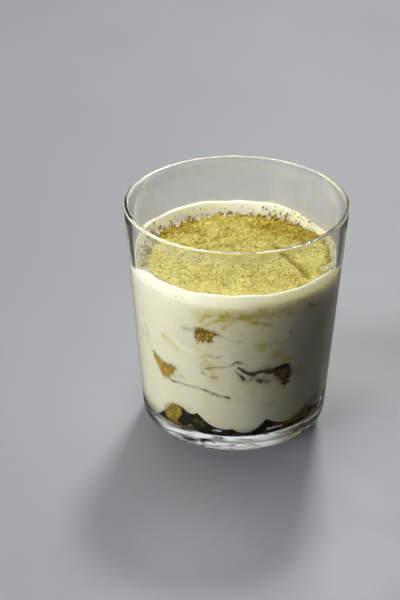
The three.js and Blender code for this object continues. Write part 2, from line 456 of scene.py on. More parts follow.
# The rubbed foot, which fades out over its last stretch
FOOT_HEIGHT = 5.6
FOOT_FADE = 1.5
FOOT_FROST = (0.02, 0.10)
# How far the food is pressed into the wall, so that no gap shows
INTO_WALL = 0.12
# Radius at which angles on the wall are turned into millimetres
WALL_RADIUS = 38.0


class Tumbler:
    """The glass's outside and inside as radii that depend on the height, in millimetres."""

    def __init__(self, settings):
        self.height = settings.height / MM
        self.rim_radius = settings.rim_radius / MM
        self.foot_radius = settings.foot_radius / MM
        self.rim_wall = settings.rim_wall / MM
        self.foot_wall = settings.foot_wall / MM
        self.floor = settings.floor / MM
        self.corner_height = self.floor + CORNER_RADIUS
        self.corner_centre = self.wall_inside(self.corner_height) - CORNER_RADIUS

    def outside(self, z):
        return mix(self.foot_radius, self.rim_radius, z / self.height)

    def wall_inside(self, z):
        return self.outside(z) - mix(self.foot_wall, self.rim_wall, z / self.height)

    def inside(self, z):
        """Radius of the inner surface: the straight wall, and the round corner below it."""
        drop = np.clip(self.corner_height - z, 0, CORNER_RADIUS)
        corner = self.corner_centre + np.sqrt(CORNER_RADIUS**2 - drop**2)
        return np.where(drop > 0, corner, self.wall_inside(z))

    def floor_height(self, radius):
        share = np.clip(radius / self.corner_centre, 0, 1)
        return self.floor + FLOOR_CROWN * (1 - share**2)


def arc(radius, height, size, start, end, steps):
    """Profile points on a circle round (radius, height), from a start to an end angle."""
    turn = np.radians(np.linspace(start, end, steps))
    return np.stack([radius + size * np.cos(turn), height + size * np.sin(turn)], axis=-1)


def tumbler_profile(glass):
    """Half section from the underside's middle, round the foot, wall and lip, to the floor's middle."""
    dome = np.radians(np.linspace(DOME_START, 90, DOME_STEPS))
    underside = np.stack([RING_INNER * np.sin(dome), PUNT * np.cos(dome)], axis=-1)
    heel_r = glass.outside(HEEL_RADIUS) - HEEL_RADIUS
    heel = arc(heel_r, HEEL_RADIUS, HEEL_RADIUS, -90, 0, HEEL_STEPS)
    lip_z = glass.height - LIP_ROUNDING
    outer_lip_r = glass.rim_radius - LIP_ROUNDING
    inner_lip_r = glass.rim_radius - glass.rim_wall + LIP_ROUNDING
    mouth = np.concatenate([
        arc(outer_lip_r, lip_z, LIP_ROUNDING, 0, 90, LIP_STEPS),
        arc(inner_lip_r, lip_z, LIP_ROUNDING, 90, 180, LIP_STEPS),
    ])
    corner = arc(glass.corner_centre, glass.corner_height, CORNER_RADIUS, 0, -90, CORNER_STEPS)
    floor_r = np.linspace(glass.corner_centre, 1, FLOOR_STEPS)[1:]
    floor = np.stack([floor_r, glass.floor_height(floor_r)], axis=-1)
    return np.concatenate([
        underside,
        np.linspace((RING_INNER + RING_EDGE, 0), (heel_r - RING_EDGE, 0), 3),
        heel,
        np.linspace(heel[-1], mouth[0], WALL_STEPS)[1:-1],
        mouth[:1] - (0, LIP_SUPPORT),
        mouth,
        mouth[-1:] - (0, LIP_SUPPORT),
        np.linspace(mouth[-1], corner[0], WALL_STEPS)[1:-1],
        corner,
        floor,
    ])


def tumbler_shape(glass):
    """The half section turned round the axis, with the thick base a little uneven, as cast glass is."""
    profile = tumbler_profile(glass)
    angles = np.linspace(0, 360, GLASS_COLUMNS, endpoint=False)
    rings = around(profile[:, None, 0], angles, profile[:, None, 1])
    height = rings[..., 2]
    thick = fade_out(height, *BASE_WAVES_END) * (height > FLAT_FOOT)
    rings[..., 2] += BASE_WAVES * thick * rough_noise(rings, BASE_WAVE_SIZE, 2, seed=3)
    rings[..., :2] *= 1 + WALL_WAVES * rough_noise(rings, WALL_WAVE_SIZE, 2, seed=5)[..., None]
    shape = skin((0, 0, PUNT), rings, (0, 0, glass.floor + FLOOR_CROWN))
    return shape, {"foot": fade_out(shape[0][:, 2], FOOT_HEIGHT - FOOT_FADE, FOOT_HEIGHT)}


# ---- The cream's form ----


class RimDip(NamedTuple):
    """A place where the cream's rim stands lower: its angle, spread in degrees and depth."""

    angle: float
    spread: float
    depth: float


class Lobe(NamedTuple):
    """A round lobe of cream that sags into the soaked layer: its angle, half width and level."""

    angle: float
    half_width: float
    low: float


RIM_DIPS = [RimDip(28, 22, 2.5), RimDip(195, 11, 3.3), RimDip(348, 12, 2.4)]
FRONT_LOBES = [
    Lobe(202, 16.5, 5.2), Lobe(243.3, 8.0, 15.4), Lobe(264.6, 14, 10.5), Lobe(277.3, 11.2, 9.0),
    Lobe(305, 16.8, 11.2),
]
BACK_LOBES = [Lobe(334 + 27 * i, 15, 11 + 1.6 * math.sin(2.4 * i)) for i in range(8)]
LOBE_RISE = 4.2
LOBE_CEILING = 17.2
LOBE_ROUNDING = 0.9
SEAM_MIDDLE = 12.0
# Radii between which the seam turns from level to lobed
SEAM_BENDS = (14.0, 35.5)
# Height of the flat top's ripple, and its waves: radians for each mm along x and y, and start
RIPPLE = 0.3
RIPPLES = [(0.13, 0.21, 0), (-0.1, 0.24, 1.3)]
# How far in the rim begins, at the front where it is thin and at the back where it is broad
RIM_FOOT = (3.0, 5.8)
RIM_BROADEST = 125
RIM_BROADENS = (-0.2, 0.7)
RIM_THICKNESS = 1.05
RIM_ROUNDING = 0.45
RIM_UNDERCUT = 150
RIM_HOLLOW = (4.0, 1.7)
RIM_STEP = 0.3
# Waves of the rim's crest: height, how many go round, and start in degrees
RIM_FLUTTER = [(0.25, 7, 0), (0.15, 17, 40)]
RIM_GROOVE = 0.4
GROOVE_CLIMB = 0.5
GROOVE_WIDTH = 0.09


def rim_top(angle, cream):
    """Level of the rim's crest: the highest level, less a bell for each dip, plus a flutter."""
    dips = sum(
        dip.depth * bell(angle_between(angle, dip.angle) / dip.spread) for dip in RIM_DIPS
    )
    flutter = sum(
        height * np.sin(np.radians(waves * angle + start)) for height, waves, start in RIM_FLUTTER
    )
    return cream.rim_top / MM - dips + flutter


def lobe_edge(angle):
    """Level of the cream's lower edge at the wall: the lowest of the lobes' parabolas there."""
    level = np.full(np.shape(angle), LOBE_CEILING)
    for lobe in FRONT_LOBES + BACK_LOBES:
        away = angle_between(angle, lobe.angle) / lobe.half_width
        level = np.minimum(level, lobe.low + LOBE_RISE * away**2)
    return level


def ripple(x, y):
    """Two crossing waves of the cream's flat top."""
    waves = [np.sin(along_x * x + along_y * y + start) for along_x, along_y, start in RIPPLES]
    return RIPPLE * sum(waves) / 2


class Fold(NamedTuple):
    """A crease or ridge in the top: its route (x, y), half width, and height (creases negative)."""

    width: float
    height: float
    route: list


FOLDS = [
    Fold(1.5, -1.9, [(16, 5.5), (22, -4), (24.5, -9.5), (27, -15)]),
    Fold(2.4, 0.9, [(12, 4), (18, -4), (21.5, -11)]),
    Fold(1.1, -1.1, [(-3, 22), (6, 15), (17, 6)]),
    Fold(1.5, 1.1, [(-6, 19), (3, 14), (13, 6.5)]),
    Fold(1.1, -0.8, [(-18, 8), (-8, 11.5), (2, 10.5), (9.5, 11.5)]),
    Fold(1.4, 0.9, [(-15, 5.5), (-5, 8), (4, 7.5), (11, 5)]),
    Fold(1.0, -0.55, [(-27, 2), (-20, -1), (-12, -2.5)]),
    Fold(1.3, 0.6, [(10, 19), (18, 17), (26, 12)]),
    Fold(1.0, -0.5, [(12, 24), (20, 20), (27, 17)]),
    Fold(1.0, -0.45, [(-10, 25), (-2, 26.5), (6, 26)]),
    Fold(2.6, 0.8, [(-7, -22), (-5, -23)]),
    Fold(4.0, 0.5, [(-20, -14), (-12, -18)]),
    Fold(3.5, -0.35, [(2, -18), (12, -20)]),
]


def fold_height(x, y):
    """Sum of the folds, each a bell across its route."""
    places = np.stack([x, y], axis=-1)
    return sum(f.height * bell(route_distance(places, f.route) / f.width) for f in FOLDS)


def rim_breadth(angle):
    """0 where the rim is a thin collar, 1 where it is a broad slope."""
    return smoothstep(np.cos(np.radians(angle - RIM_BROADEST)), *RIM_BROADENS)


def rim_foot(angle):
    """How far in from the wall the rim begins to rise from the flat."""
    return mix(*RIM_FOOT, rim_breadth(angle))


def mouth_radius(glass, cream):
    """Inner radius of the glass where the cream's rim is highest."""
    return glass.inside(cream.rim_top / MM)


def rim_climb(radius, angle, glass, cream):
    """0 on the flat, rising to 1 at the rim's crest."""
    foot = rim_foot(angle)
    return np.clip((radius - mouth_radius(glass, cream) + foot) / (foot - RIM_THICKNESS), 0, 1)


def rim_groove(climb, angle):
    """0 to 1: a bell across the fine groove that runs along the broad part of the rim's slope."""
    return rim_breadth(angle) * bell((climb - GROOVE_CLIMB) / GROOVE_WIDTH)


def cream_top(x, y, glass, cream):
    """Height of the cream's top: the rippled flat with its folds, hollowed up into the rim."""
    angle = np.degrees(np.arctan2(y, x))
    climb = rim_climb(np.hypot(x, y), angle, glass, cream)
    flat = cream.flat / MM + ripple(x, y) + fold_height(x, y) * (1 - climb)
    hollow = mix(*RIM_HOLLOW, rim_breadth(angle))
    slope = mix(flat, rim_top(angle, cream) - RIM_STEP, climb**hollow)
    return slope - RIM_GROOVE * rim_groove(climb, angle)


def seam(radius, angle):
    """Height of the seam between cream and soaked layer: level in the middle, lobed at the wall."""
    return mix(SEAM_MIDDLE, lobe_edge(angle), smoothstep(radius, *SEAM_BENDS))


# ---- Marks where the cream meets the glass ----


class Mark(NamedTuple):
    """A streak on the wall: its colour, half width, strength, its route, and how deep it lies.

    The route is a list of (angle, height).
    """

    kind: str
    width: float
    strength: float
    route: list
    depth: float = 0.0


# Syrup and crumb marks are stains; shade marks are painted shade and light marks are painted light
MARKS = [
    # Tea that ran down under the rim, with its darker spot and leg
    Mark("syrup", 2.0, 0.32, [(249, 61), (257, 62.2), (267, 62.7), (276, 61.6)]),
    Mark("syrup", 0.6, 0.45, [(251, 59), (254, 61.6), (259, 62.4)]),
    Mark("syrup", 0.5, 0.50, [(253, 57.6), (262, 60.4), (270, 60.6), (277, 61)]),
    Mark("syrup", 0.65, 0.70, [(269, 60.6), (266, 58.4), (264, 57.2)]),
    Mark("syrup", 0.8, 0.75, [(268.5, 61.8), (273.5, 61.9)]),
    Mark("crumb", 0.6, 0.40, [(270, 61.6), (273.5, 61.7)]),
    Mark("syrup", 0.7, 0.65, [(279.5, 59.6), (283, 59.3)]),
    Mark("crumb", 0.5, 0.26, [(280, 59.5), (284, 59), (290, 58)]),
    Mark("syrup", 0.7, 0.55, [(285.5, 58.9), (290, 58.2)]),
    Mark("syrup", 1.7, 0.45, [(292, 63), (302, 62.5)]),
    Mark("crumb", 0.6, 0.50, [(303, 53), (303.6, 52.6)]),
    Mark("crumb", 0.7, 0.35, [(314, 62.6), (322, 60.4)]),
    # Painted shade: a soft yellow-brown shadow under the collar
    Mark("syrup", 2.4, 0.42, [(256, 62.6), (266, 63), (280, 63), (302, 62.2), (325, 60.6)]),
    Mark("crumb", 1.9, 0.12, [(264, 62.4), (280, 62.8), (302, 62.2)]),
    # Painted shade: broad yellow tints where the cream turns from light into shade
    Mark("syrup", 9.0, 0.22, [(284, 30), (282, 57)]),
    Mark("syrup", 10.0, 0.13, [(262, 18), (260, 56)]),
    # Painted highlights: the bright lower edge of the thin collar and a gleam above it, with a yellow
    # band just under that edge to the right
    Mark("light", 0.4, 0.90, [(264, 66.4), (275, 65.9), (290, 65.6), (300, 65.5)]),
    Mark("syrup", 1.6, 0.35, [(284, 65.2), (300, 65.2), (322, 64.6)]),
    Mark("light", 0.6, 0.80, [(260, 66.6), (264, 67), (270, 67.2)]),
    # A fine seam between two spoonfuls
    Mark("crumb", 0.5, 0.20, [(261, 54), (269, 52.3), (276, 51), (288, 49.7), (298, 49.3), (307, 49.6)]),
    Mark("syrup", 2.2, 0.50, [(286, 48), (291, 49.4), (297, 48.4), (293, 43)]),
    Mark("syrup", 1.8, 0.50, [(298, 42.4), (303, 41)]),
    # The swirl beside the middle
    Mark("crumb", 0.55, 0.42, [(251, 43.6), (257, 44.3), (260, 44.2), (263, 45.6)]),
    Mark("crumb", 0.52, 0.46, [(254, 38.8), (263, 39.8), (268, 40.6), (271, 42.4), (274, 41.6)]),
    Mark("crumb", 0.45, 0.60, [(270, 42.2), (271.6, 42.4), (274.2, 41.5)]),
    Mark("crumb", 0.6, 0.42, [(252, 36), (254, 34.6), (260, 35.2)]),
    Mark("crumb", 0.6, 0.26, [(252, 36), (251, 39.4), (253.4, 42.6)]),
    Mark("syrup", 2.4, 0.32, [(254, 44), (256, 39), (256, 35)]),
    Mark("syrup", 1.2, 0.12, [(254, 39), (263, 39.8), (268, 40.8)]),
    # A painted highlight on a shiny bump
    Mark("light", 1.5, 0.90, [(264, 44.2), (266, 43.8)]),
    # The dark crack beside the right sponge, painted shade over a crumb stain, with painted shade for
    # the air under it and a painted highlight between
    Mark("crumb", 0.70, 0.5, [(274, 38.8), (280.5, 36.6), (285, 37.6), (290, 38), (296, 38)]),
    Mark("shade", 0.42, 2.2, [
        (272.4, 39.6), (276, 38.2), (280.5, 36.6), (285, 37.3), (290, 37.4), (296, 37.2),
    ]),
    Mark("shade", 0.62, 2.2, [(275, 38.3), (280.5, 36.9), (285, 37.6)]),
    Mark("shade", 0.8, 2.0, [(289, 37.4), (297, 37.4), (303, 37.6)]),
    Mark("shade", 2.6, 0.16, [(278, 37), (290, 37), (298, 36)]),
    Mark("shade", 0.60, 1.0, [(278.4, 36.9), (281, 36.5)]),
    Mark("shade", 1.4, 0.22, [(276, 38.6), (282, 38.6), (290, 39.6)]),
    Mark("shade", 1.7, 0.42, [(276, 34.8), (283, 33.8), (290, 33.2), (297, 33.0)]),
    Mark("shade", 0.45, 0.60, [(270.6, 37.8), (273, 36.4), (274.5, 35.4)]),
    Mark("shade", 0.6, 0.80, [(273.2, 36.2), (275.2, 35)]),
    Mark("shade", 0.6, 0.40, [(280, 34.4), (288, 32.8), (292, 32.8)]),
    Mark("light", 1.0, 0.40, [(281, 36), (289, 36)]),
    Mark("shade", 2.8, 0.18, [(306, 34), (316, 32)]),
    # The left side: painted shade for an air pocket, a green stain, a painted ochre shadow, painted
    # highlights on a bright fold with faint painted shade above it, and painted shade in fine grooves
    Mark("shade", 0.9, 0.22, [(196.5, 43.6), (199, 42.6), (201.7, 41.8)]),
    Mark("syrup", 1.2, 0.40, [(205.7, 47.5), (207.9, 45.1), (209.6, 41.7)]),
    Mark("syrup", 1.5, 0.55, [(225.4, 47.6), (231.5, 45.7), (234.3, 44.6)]),
    Mark("light", 1.6, 0.60, [(216, 46.6), (224, 48)]),
    Mark("light", 1.1, 1.20, [(232.5, 47.2), (239.9, 45.8), (245.1, 44.9)]),
    Mark("syrup", 1.6, 0.14, [(236, 49.6), (243, 48), (249, 46.6)]),
    Mark("shade", 0.8, 0.03, [(188, 61), (196, 56.5), (206, 52)]),
    Mark("shade", 0.8, 0.04, [(193, 36), (203, 31), (213, 28.6)]),
    Mark("shade", 1.7, 0.10, [(204, 42), (212, 37.6), (216, 35)]),
    # The long dark line low on the front: painted shade along a fine groove, with crumb stain along it
    # and at its start
    Mark("shade", 0.34, 0.75, [(228, 28.8), (236, 29.1), (244, 29.1), (251, 28.4), (259, 27.3)]),
    Mark("crumb", 0.6, 0.32, [(229, 28.7), (244, 28.9), (259, 27), (267, 26)]),
    Mark("shade", 0.45, 0.70, [(227.5, 29.2), (230.5, 28.5), (234, 28.9)]),
    Mark("crumb", 0.5, 0.85, [(258, 27.4), (262, 26.6), (264, 27), (267.5, 25.8)]),
    Mark("shade", 0.35, 0.40, [(260, 27.1), (264, 26.8)]),
    Mark("shade", 0.8, 0.14, [(288, 22), (296, 21.4)]),
    # Tints in the small lobe beside the golden chunk, and painted shade at its edge
    Mark("syrup", 1.0, 0.50, [(236, 17.6), (239, 16.6), (241, 18)]),
    Mark("shade", 0.5, 0.22, [(240, 16.2), (242, 18)]),
    # Shadows at both tips of the upper sponge
    Mark("shade", 1.0, 0.30, [(241, 54.4), (247.5, 55)]),
    Mark("shade", 0.7, 0.50, [(258, 55), (262, 54.4)]),
    Mark("shade", 1.6, 0.16, [(228, 30.5), (237, 32)]),
    # The back, marked the same way: stains, a line of painted shade and a painted highlight
    Mark("syrup", 2.0, 0.45, [(20, 60), (32, 61.5), (45, 60)]),
    Mark("crumb", 0.42, 0.30, [(60, 47), (78, 44.4), (98, 45.6), (110, 48)], 0.1),
    Mark("crumb", 0.45, 0.50, [(128, 27), (142, 26.4), (155, 28)], 0.2),
    Mark("shade", 0.50, 0.30, [(8, 30), (22, 28), (40, 28.6)]),
    Mark("syrup", 1.6, 0.40, [(150, 58), (163, 57)]),
    Mark("crumb", 0.50, 1.10, [(96, 38), (104, 36.6), (112, 37)], 0.2),
    Mark("syrup", 1.7, 0.40, [(84, 34), (92, 31)]),
    Mark("light", 1.3, 0.80, [(50, 37), (60, 38.5)]),
]

# Small pits where the cream is off the glass: angle and height of each
PITS = [
    (215.6, 66.2), (218.3, 66.4), (220.8, 66.1), (222.6, 65.7), (225.1, 65.6), (236.5, 67.0),
    (240.4, 67.4), (100, 66.4), (103.5, 66.0), (107, 66.3), (41, 67),
]
PIT_SIZE = 0.3
PIT_DEPTH = 0.4
PIT_STAIN = 0.5


class Sponge(NamedTuple):
    """A piece of sponge finger that shows at the glass: where, how large, and its outline there.

    It leans by an angle. The larger dark is, the darker it is painted, and below 0 the fairer; the large
    values on the right are painted shade and the values below 0 on the left painted light. The cap is
    painted shade on its top.
    """

    angle: float
    low: float
    high: float
    width: float
    depth: float
    lean: float
    dark: float = 0.15
    cap: float = 0.0
    outline: list = None

    @property
    def wet(self):
        """Whether it lies in the soaked layer."""
        return self.low < LOW_SPONGE


SPONGES = {
    "sponge_upper_front": Sponge(254, 49.9, 56.4, 7.4, 15, -8, 0.10, 0.0, [
        (248.2, 55.4), (250, 55.8), (252.3, 55.7), (254.6, 55.1), (258, 55.2), (259.6, 54.4),
        (257.7, 52.9), (257.2, 51.2), (255.1, 50.5), (253.4, 51.5), (252.2, 50.8), (249.7, 50.2),
        (248.9, 51.8), (248.7, 53.5),
    ]),
    "sponge_middle_left": Sponge(224.5, 28.8, 37.2, 11, 17, 14, -0.35, 0.0, [
        (214.8, 37.4), (218.4, 35.7), (221.4, 34.7), (225.9, 34.7), (229.8, 35.0), (233.9, 34.9),
        (231.3, 33.3), (229, 31.6), (227.3, 29.5), (223.5, 28.7), (220.7, 29.8), (218.9, 32.3),
        (216.6, 34.6),
    ]),
    "sponge_middle_right": Sponge(299.5, 28.6, 39.4, 8.4, 18, 9, 0.55, 0.6, [
        (293.6, 36.8), (296.4, 38.0), (299.2, 38.8), (301.6, 38.2), (303.6, 36.6), (305.8, 34.4),
        (304.6, 31.8), (303.2, 29.8), (301.6, 28.4), (300.0, 29.4), (298.6, 31.6), (296.9, 33.5),
        (294.3, 35.3),
    ]),
    "sponge_upper_back": Sponge(72, 50.5, 58, 10, 17, 10),
    "sponge_middle_back": Sponge(118, 29, 37.5, 12, 17, -12),
    "sponge_middle_far_right": Sponge(22, 33, 41.5, 9, 16, 6),
    "sponge_upper_left": Sponge(160, 47, 54, 8.5, 15, -6),
    "sponge_base_left": Sponge(229, 6.6, 17.6, 8.8, 11, 4, -0.25, 0.4, [
        (221.9, 12.9), (223.7, 15), (227.6, 16.6), (232, 17.1), (235.4, 17.2), (235.5, 16.2),
        (236.3, 14.9), (234.4, 13), (232.1, 11.2), (231.2, 8.8), (228.6, 6.4), (225.8, 6.4),
        (223.6, 7.9), (221.3, 9.2), (220.9, 11.1),
    ]),
    "sponge_base_right": Sponge(316, 7.2, 15.4, 13, 12, -10, 0.35, 0.0, [
        (301, 11.2), (308.4, 12.2), (316.9, 14), (327, 16), (336, 16.4), (338, 14), (330, 12.4),
        (323, 11), (315, 10.2), (306, 9.2),
    ]),
    "sponge_base_back": Sponge(84, 6.8, 16, 12, 12, 8),
    "sponge_base_far_left": Sponge(146, 6.8, 15, 10, 12, -7),
}
# Sponges that start below this level lie in the soaked layer
LOW_SPONGE = 20.0
# The food stands this far back from the wall where a sponge shows, and over this soft edge
WINDOW_DEPTH = 1.6
WINDOW_EDGE = (-0.15, 0.25)
# Crumb and syrup stains round each sponge, and painted shade where the cream meets it: strength, and how
# far outside and inside its outline each turns full
SPONGE_STAINS_AND_SHADE = {
    "crumb": (0.30, -0.7, 0.1), "shade": (0.16, -1.6, 0.0), "syrup": (0.30, -2.4, 0.0),
}
# Noise that bends the marks, and noise that makes them patchy: strength or ends, and size
MARK_WARP = 0.8
MARK_WARP_SIZE = 3.2
MARK_PATCHES = (0.45, 1.25)
MARK_PATCH_SIZE = 2.4
# Painted light on the thin collar, as if lit through it: its lower edge, how much higher that is far to
# the right, and its strength
COLLAR_LOW = 65.8
COLLAR_NARROWING = 1.6
COLLAR_PAINTED_LIGHT = 0.9
EDGE_RAGGEDNESS = 0.6
LIGHT_BENDING = 1.5
# Inner radius of the wall as a share of the outer, k
INNER_SHARE = 0.945


def behind_glass(angle):
    """Where a place lies that, through the wall, seems to lie at an angle on the front half.

    A ray at sine s of the inner radius meets the outside at sine ks, is bent by the glass's index
    n, and meets the inside at asin(ks) - asin(ks/n) + asin(s/n) from the front. The back half is
    listed as it lies.
    """
    aside = angle_between(np.asarray(angle, float), FRONT)
    sine = np.sin(np.radians(aside))
    outer_sine = INNER_SHARE * sine
    bent = np.arcsin(outer_sine) - np.arcsin(outer_sine / LIGHT_BENDING)
    bent = np.degrees(bent + np.arcsin(sine / LIGHT_BENDING))
    return np.where(np.abs(aside) < 90, FRONT + bent, angle)


def ragged(points, amount):
    """A small sideways shift for each point, from noise of two sizes, that makes an edge crumbly."""
    coarse = [rough_noise(points, 2.4, 2, seed=seed) for seed in (38, 39)]
    fine = [rough_noise(points, 1.0, 2, seed=seed) for seed in (40, 43)]
    return amount * (np.stack(coarse, axis=-1) + 1.3 * np.stack(fine, axis=-1))


def unrolled(angle, height, start):
    """Places on the wall rolled out flat, in mm: along the wall from the start angle, and up."""
    along = np.radians(angle_between(np.asarray(angle, float), start)) * WALL_RADIUS
    return np.stack(np.broadcast_arrays(along, height), axis=-1)


def sponge_outline(sponge):
    """The outline at the wall: as listed, or a leaning oblong with round, uneven corners.

    The oblong is a circle whose cosine and sine are raised to the power 0.6.
    """
    if sponge.outline:
        angles, heights = np.array(sponge.outline, float).T
        return unrolled(behind_glass(angles), heights, sponge.angle)
    turn = np.radians(np.arange(0, 360, 24))
    uneven = 0.82 + 0.14 * np.sin(5 * turn + sponge.angle) + 0.07 * np.sin(9 * turn + 2 * sponge.angle)
    across, up = (
        np.sign(wave) * np.abs(wave) ** 0.6 * size / 2 * uneven
        for wave, size in ((np.cos(turn), sponge.width), (np.sin(turn), sponge.high - sponge.low))
    )
    across, up = leaned(across, up, sponge.lean)
    return np.stack([across, up + (sponge.low + sponge.high) / 2], axis=-1)


def leaned(across, up, lean):
    """Two coordinates turned by an angle in degrees."""
    cosine, sine = math.cos(math.radians(lean)), math.sin(math.radians(lean))
    return across * cosine - up * sine, across * sine + up * cosine


def inside_window(angle, height, sponge, warp):
    """How far each place on the wall lies inside a sponge's outline, in mm; negative outside it."""
    return outline_depth(unrolled(angle, height, sponge.angle) + warp, sponge_outline(sponge))


def window(within):
    """How far the food stands back from the wall, at a depth inside a sponge's outline."""
    return WINDOW_DEPTH * smoothstep(within, *WINDOW_EDGE)


def wall_marks(points):
    """How deep the cream lies behind the glass at each point, and the strength of each stain, of painted
    shade and of painted light.

    A mark is a bell across its route, on places that noise has shifted.
    """
    angle, height = angle_of(points), points[..., 2]
    warp = [rough_noise(points, MARK_WARP_SIZE, 3, seed=seed) for seed in (11, 12)]
    warp = MARK_WARP * np.stack(warp, axis=-1)
    patches = smoothstep(rough_noise(points, MARK_PATCH_SIZE, 3, seed=13), -0.4, 0.4)
    patches = mix(*MARK_PATCHES, patches)
    depth = np.zeros(angle.shape)
    stains_and_shading = {kind: np.zeros(angle.shape) for kind in ("syrup", "crumb", "shade", "light", "dust")}
    for mark in MARKS:
        angles, heights = np.array(mark.route, float).T
        angles = behind_glass(angles)
        route = unrolled(angles, heights, angles[0])
        away = route_distance(unrolled(angle, height, angles[0]) + warp, route) / mark.width
        stains_and_shading[mark.kind] += mark.strength * bell(away) * patches
        depth += mark.depth * bell(away * 1.2)
    # Painted light on the thin collar, its lower edge rising towards the right
    collar_low = COLLAR_LOW + COLLAR_NARROWING * smoothstep(angle_between(angle, FRONT), 0, 45)
    stains_and_shading["light"] += COLLAR_PAINTED_LIGHT * smoothstep(height, collar_low - 0.6, collar_low + 0.4)
    edge_warp = ragged(points, EDGE_RAGGEDNESS)
    for sponge in SPONGES.values():
        within = inside_window(angle, height, sponge, edge_warp)
        if not sponge.wet:
            depth = np.maximum(depth, window(within))
        for kind, (strong, outside, inside) in SPONGE_STAINS_AND_SHADE.items():
            stains_and_shading[kind] += strong * smoothstep(within, outside, inside)
    for pit_angle, pit_height in PITS:
        place = unrolled(angle, height, behind_glass(pit_angle)) - (0, pit_height)
        away = np.linalg.norm(place, axis=-1) / PIT_SIZE
        depth += PIT_DEPTH * bell(away)
        stains_and_shading["crumb"] += PIT_STAIN * bell(away)
    return depth, {kind: np.clip(values, 0, 1) for kind, values in stains_and_shading.items()}


CREAM_COLUMNS = 400
UNDERSIDE_ROWS = 20
LOBE_ROWS = 8
WALL_ROWS = 150
CREST_ROWS = 6
SLOPE_ROWS = 14
TOP_ROWS = 28
FRONT_CROWDING = 0.5
FIRST_RING = 0.04
LAST_RING = 0.02
TOP_GRAIN = 0.12
TOP_GRAIN_SIZE = 2.5
TOP_PAINTED_LIGHT = 0.8
GROOVE_SHADE = 0.10
# Thin powder past the edge of the thick: strength, how far it reaches in front and behind, and
# the y between which that changes
DUST = 0.8
DUST_REACH = (6.0, 3.0)
DUST_TURN = (-4, 10)


def crowded_angles(count):
    """Angles all the way round, closest together at the front: even steps less a sine of them."""
    turn = np.linspace(0, 2 * np.pi, count, endpoint=False)
    return FRONT + np.degrees(turn - FRONT_CROWDING * np.sin(turn))


def lobed_underside(angle, edge, wall_r):
    """Rings along the seam from its middle out, and round the lobes' edge up to the wall."""
    under_r = np.linspace(FIRST_RING, 1, UNDERSIDE_ROWS)[:, None] * (wall_r - LOBE_ROUNDING)
    underside = around(under_r, angle, seam(under_r, angle))
    turn = np.radians(np.linspace(0, 90, LOBE_ROWS + 2)[1:-1])[:, None]
    lobe_r = wall_r - LOBE_ROUNDING * (1 - np.sin(turn))
    lobes = around(lobe_r, angle, edge + LOBE_ROUNDING * (1 - np.cos(turn)))
    return np.concatenate([underside, lobes])


def rounded_rim(angle, crest, wall_r):
    """Rings over the crest of the rim, on a circle that ends a little undercut."""
    turn = np.radians(np.linspace(0, RIM_UNDERCUT, CREST_ROWS + 1)[1:])[:, None]
    rim_r = wall_r - RIM_ROUNDING * (1 - np.cos(turn))
    return around(rim_r, angle, crest - RIM_ROUNDING * (1 - np.sin(turn))), rim_r[-1]


def cream_top_rings(angle, inner_edge, highest, glass, cream):
    """Rings from the rim's inner edge down its slope and in over the flat, never above the rim."""
    foot = mouth_radius(glass, cream) - rim_foot(angle)
    slope_r = mix(inner_edge, foot, np.linspace(0, 1, SLOPE_ROWS + 1)[1:, None] ** 1.5)
    flat_r = foot * np.linspace(1, LAST_RING, TOP_ROWS + 1)[1:, None]
    top = around(np.concatenate([slope_r, flat_r]), angle, 0.0)
    top[..., 2] = cream_top(top[..., 0], top[..., 1], glass, cream)
    top[..., 2] += TOP_GRAIN * rough_noise(top, TOP_GRAIN_SIZE, 3, seed=21)
    top[..., 2] = np.minimum(top[..., 2], highest)
    return top


def top_dust_and_shading(top, angle, glass, cream):
    """On the top: painted light all over, painted shade in the rim's groove, and powdery past the
    powder's edge.
    """
    radius = np.hypot(top[..., 0], top[..., 1])
    groove = rim_groove(rim_climb(radius, angle, glass, cream), angle)
    past = radius - powder_edge(angle_of(top))
    thin = np.clip(0.6 + 0.6 * rough_noise(top, 2.4, 3, seed=23), 0, 1)
    reach = mix(*DUST_REACH, smoothstep(top[..., 1], *DUST_TURN))
    dust = DUST * thin * (1 - smoothstep(past, 0, reach))
    return {"light": np.full(radius.shape, TOP_PAINTED_LIGHT), "shade": GROOVE_SHADE * groove, "dust": dust}


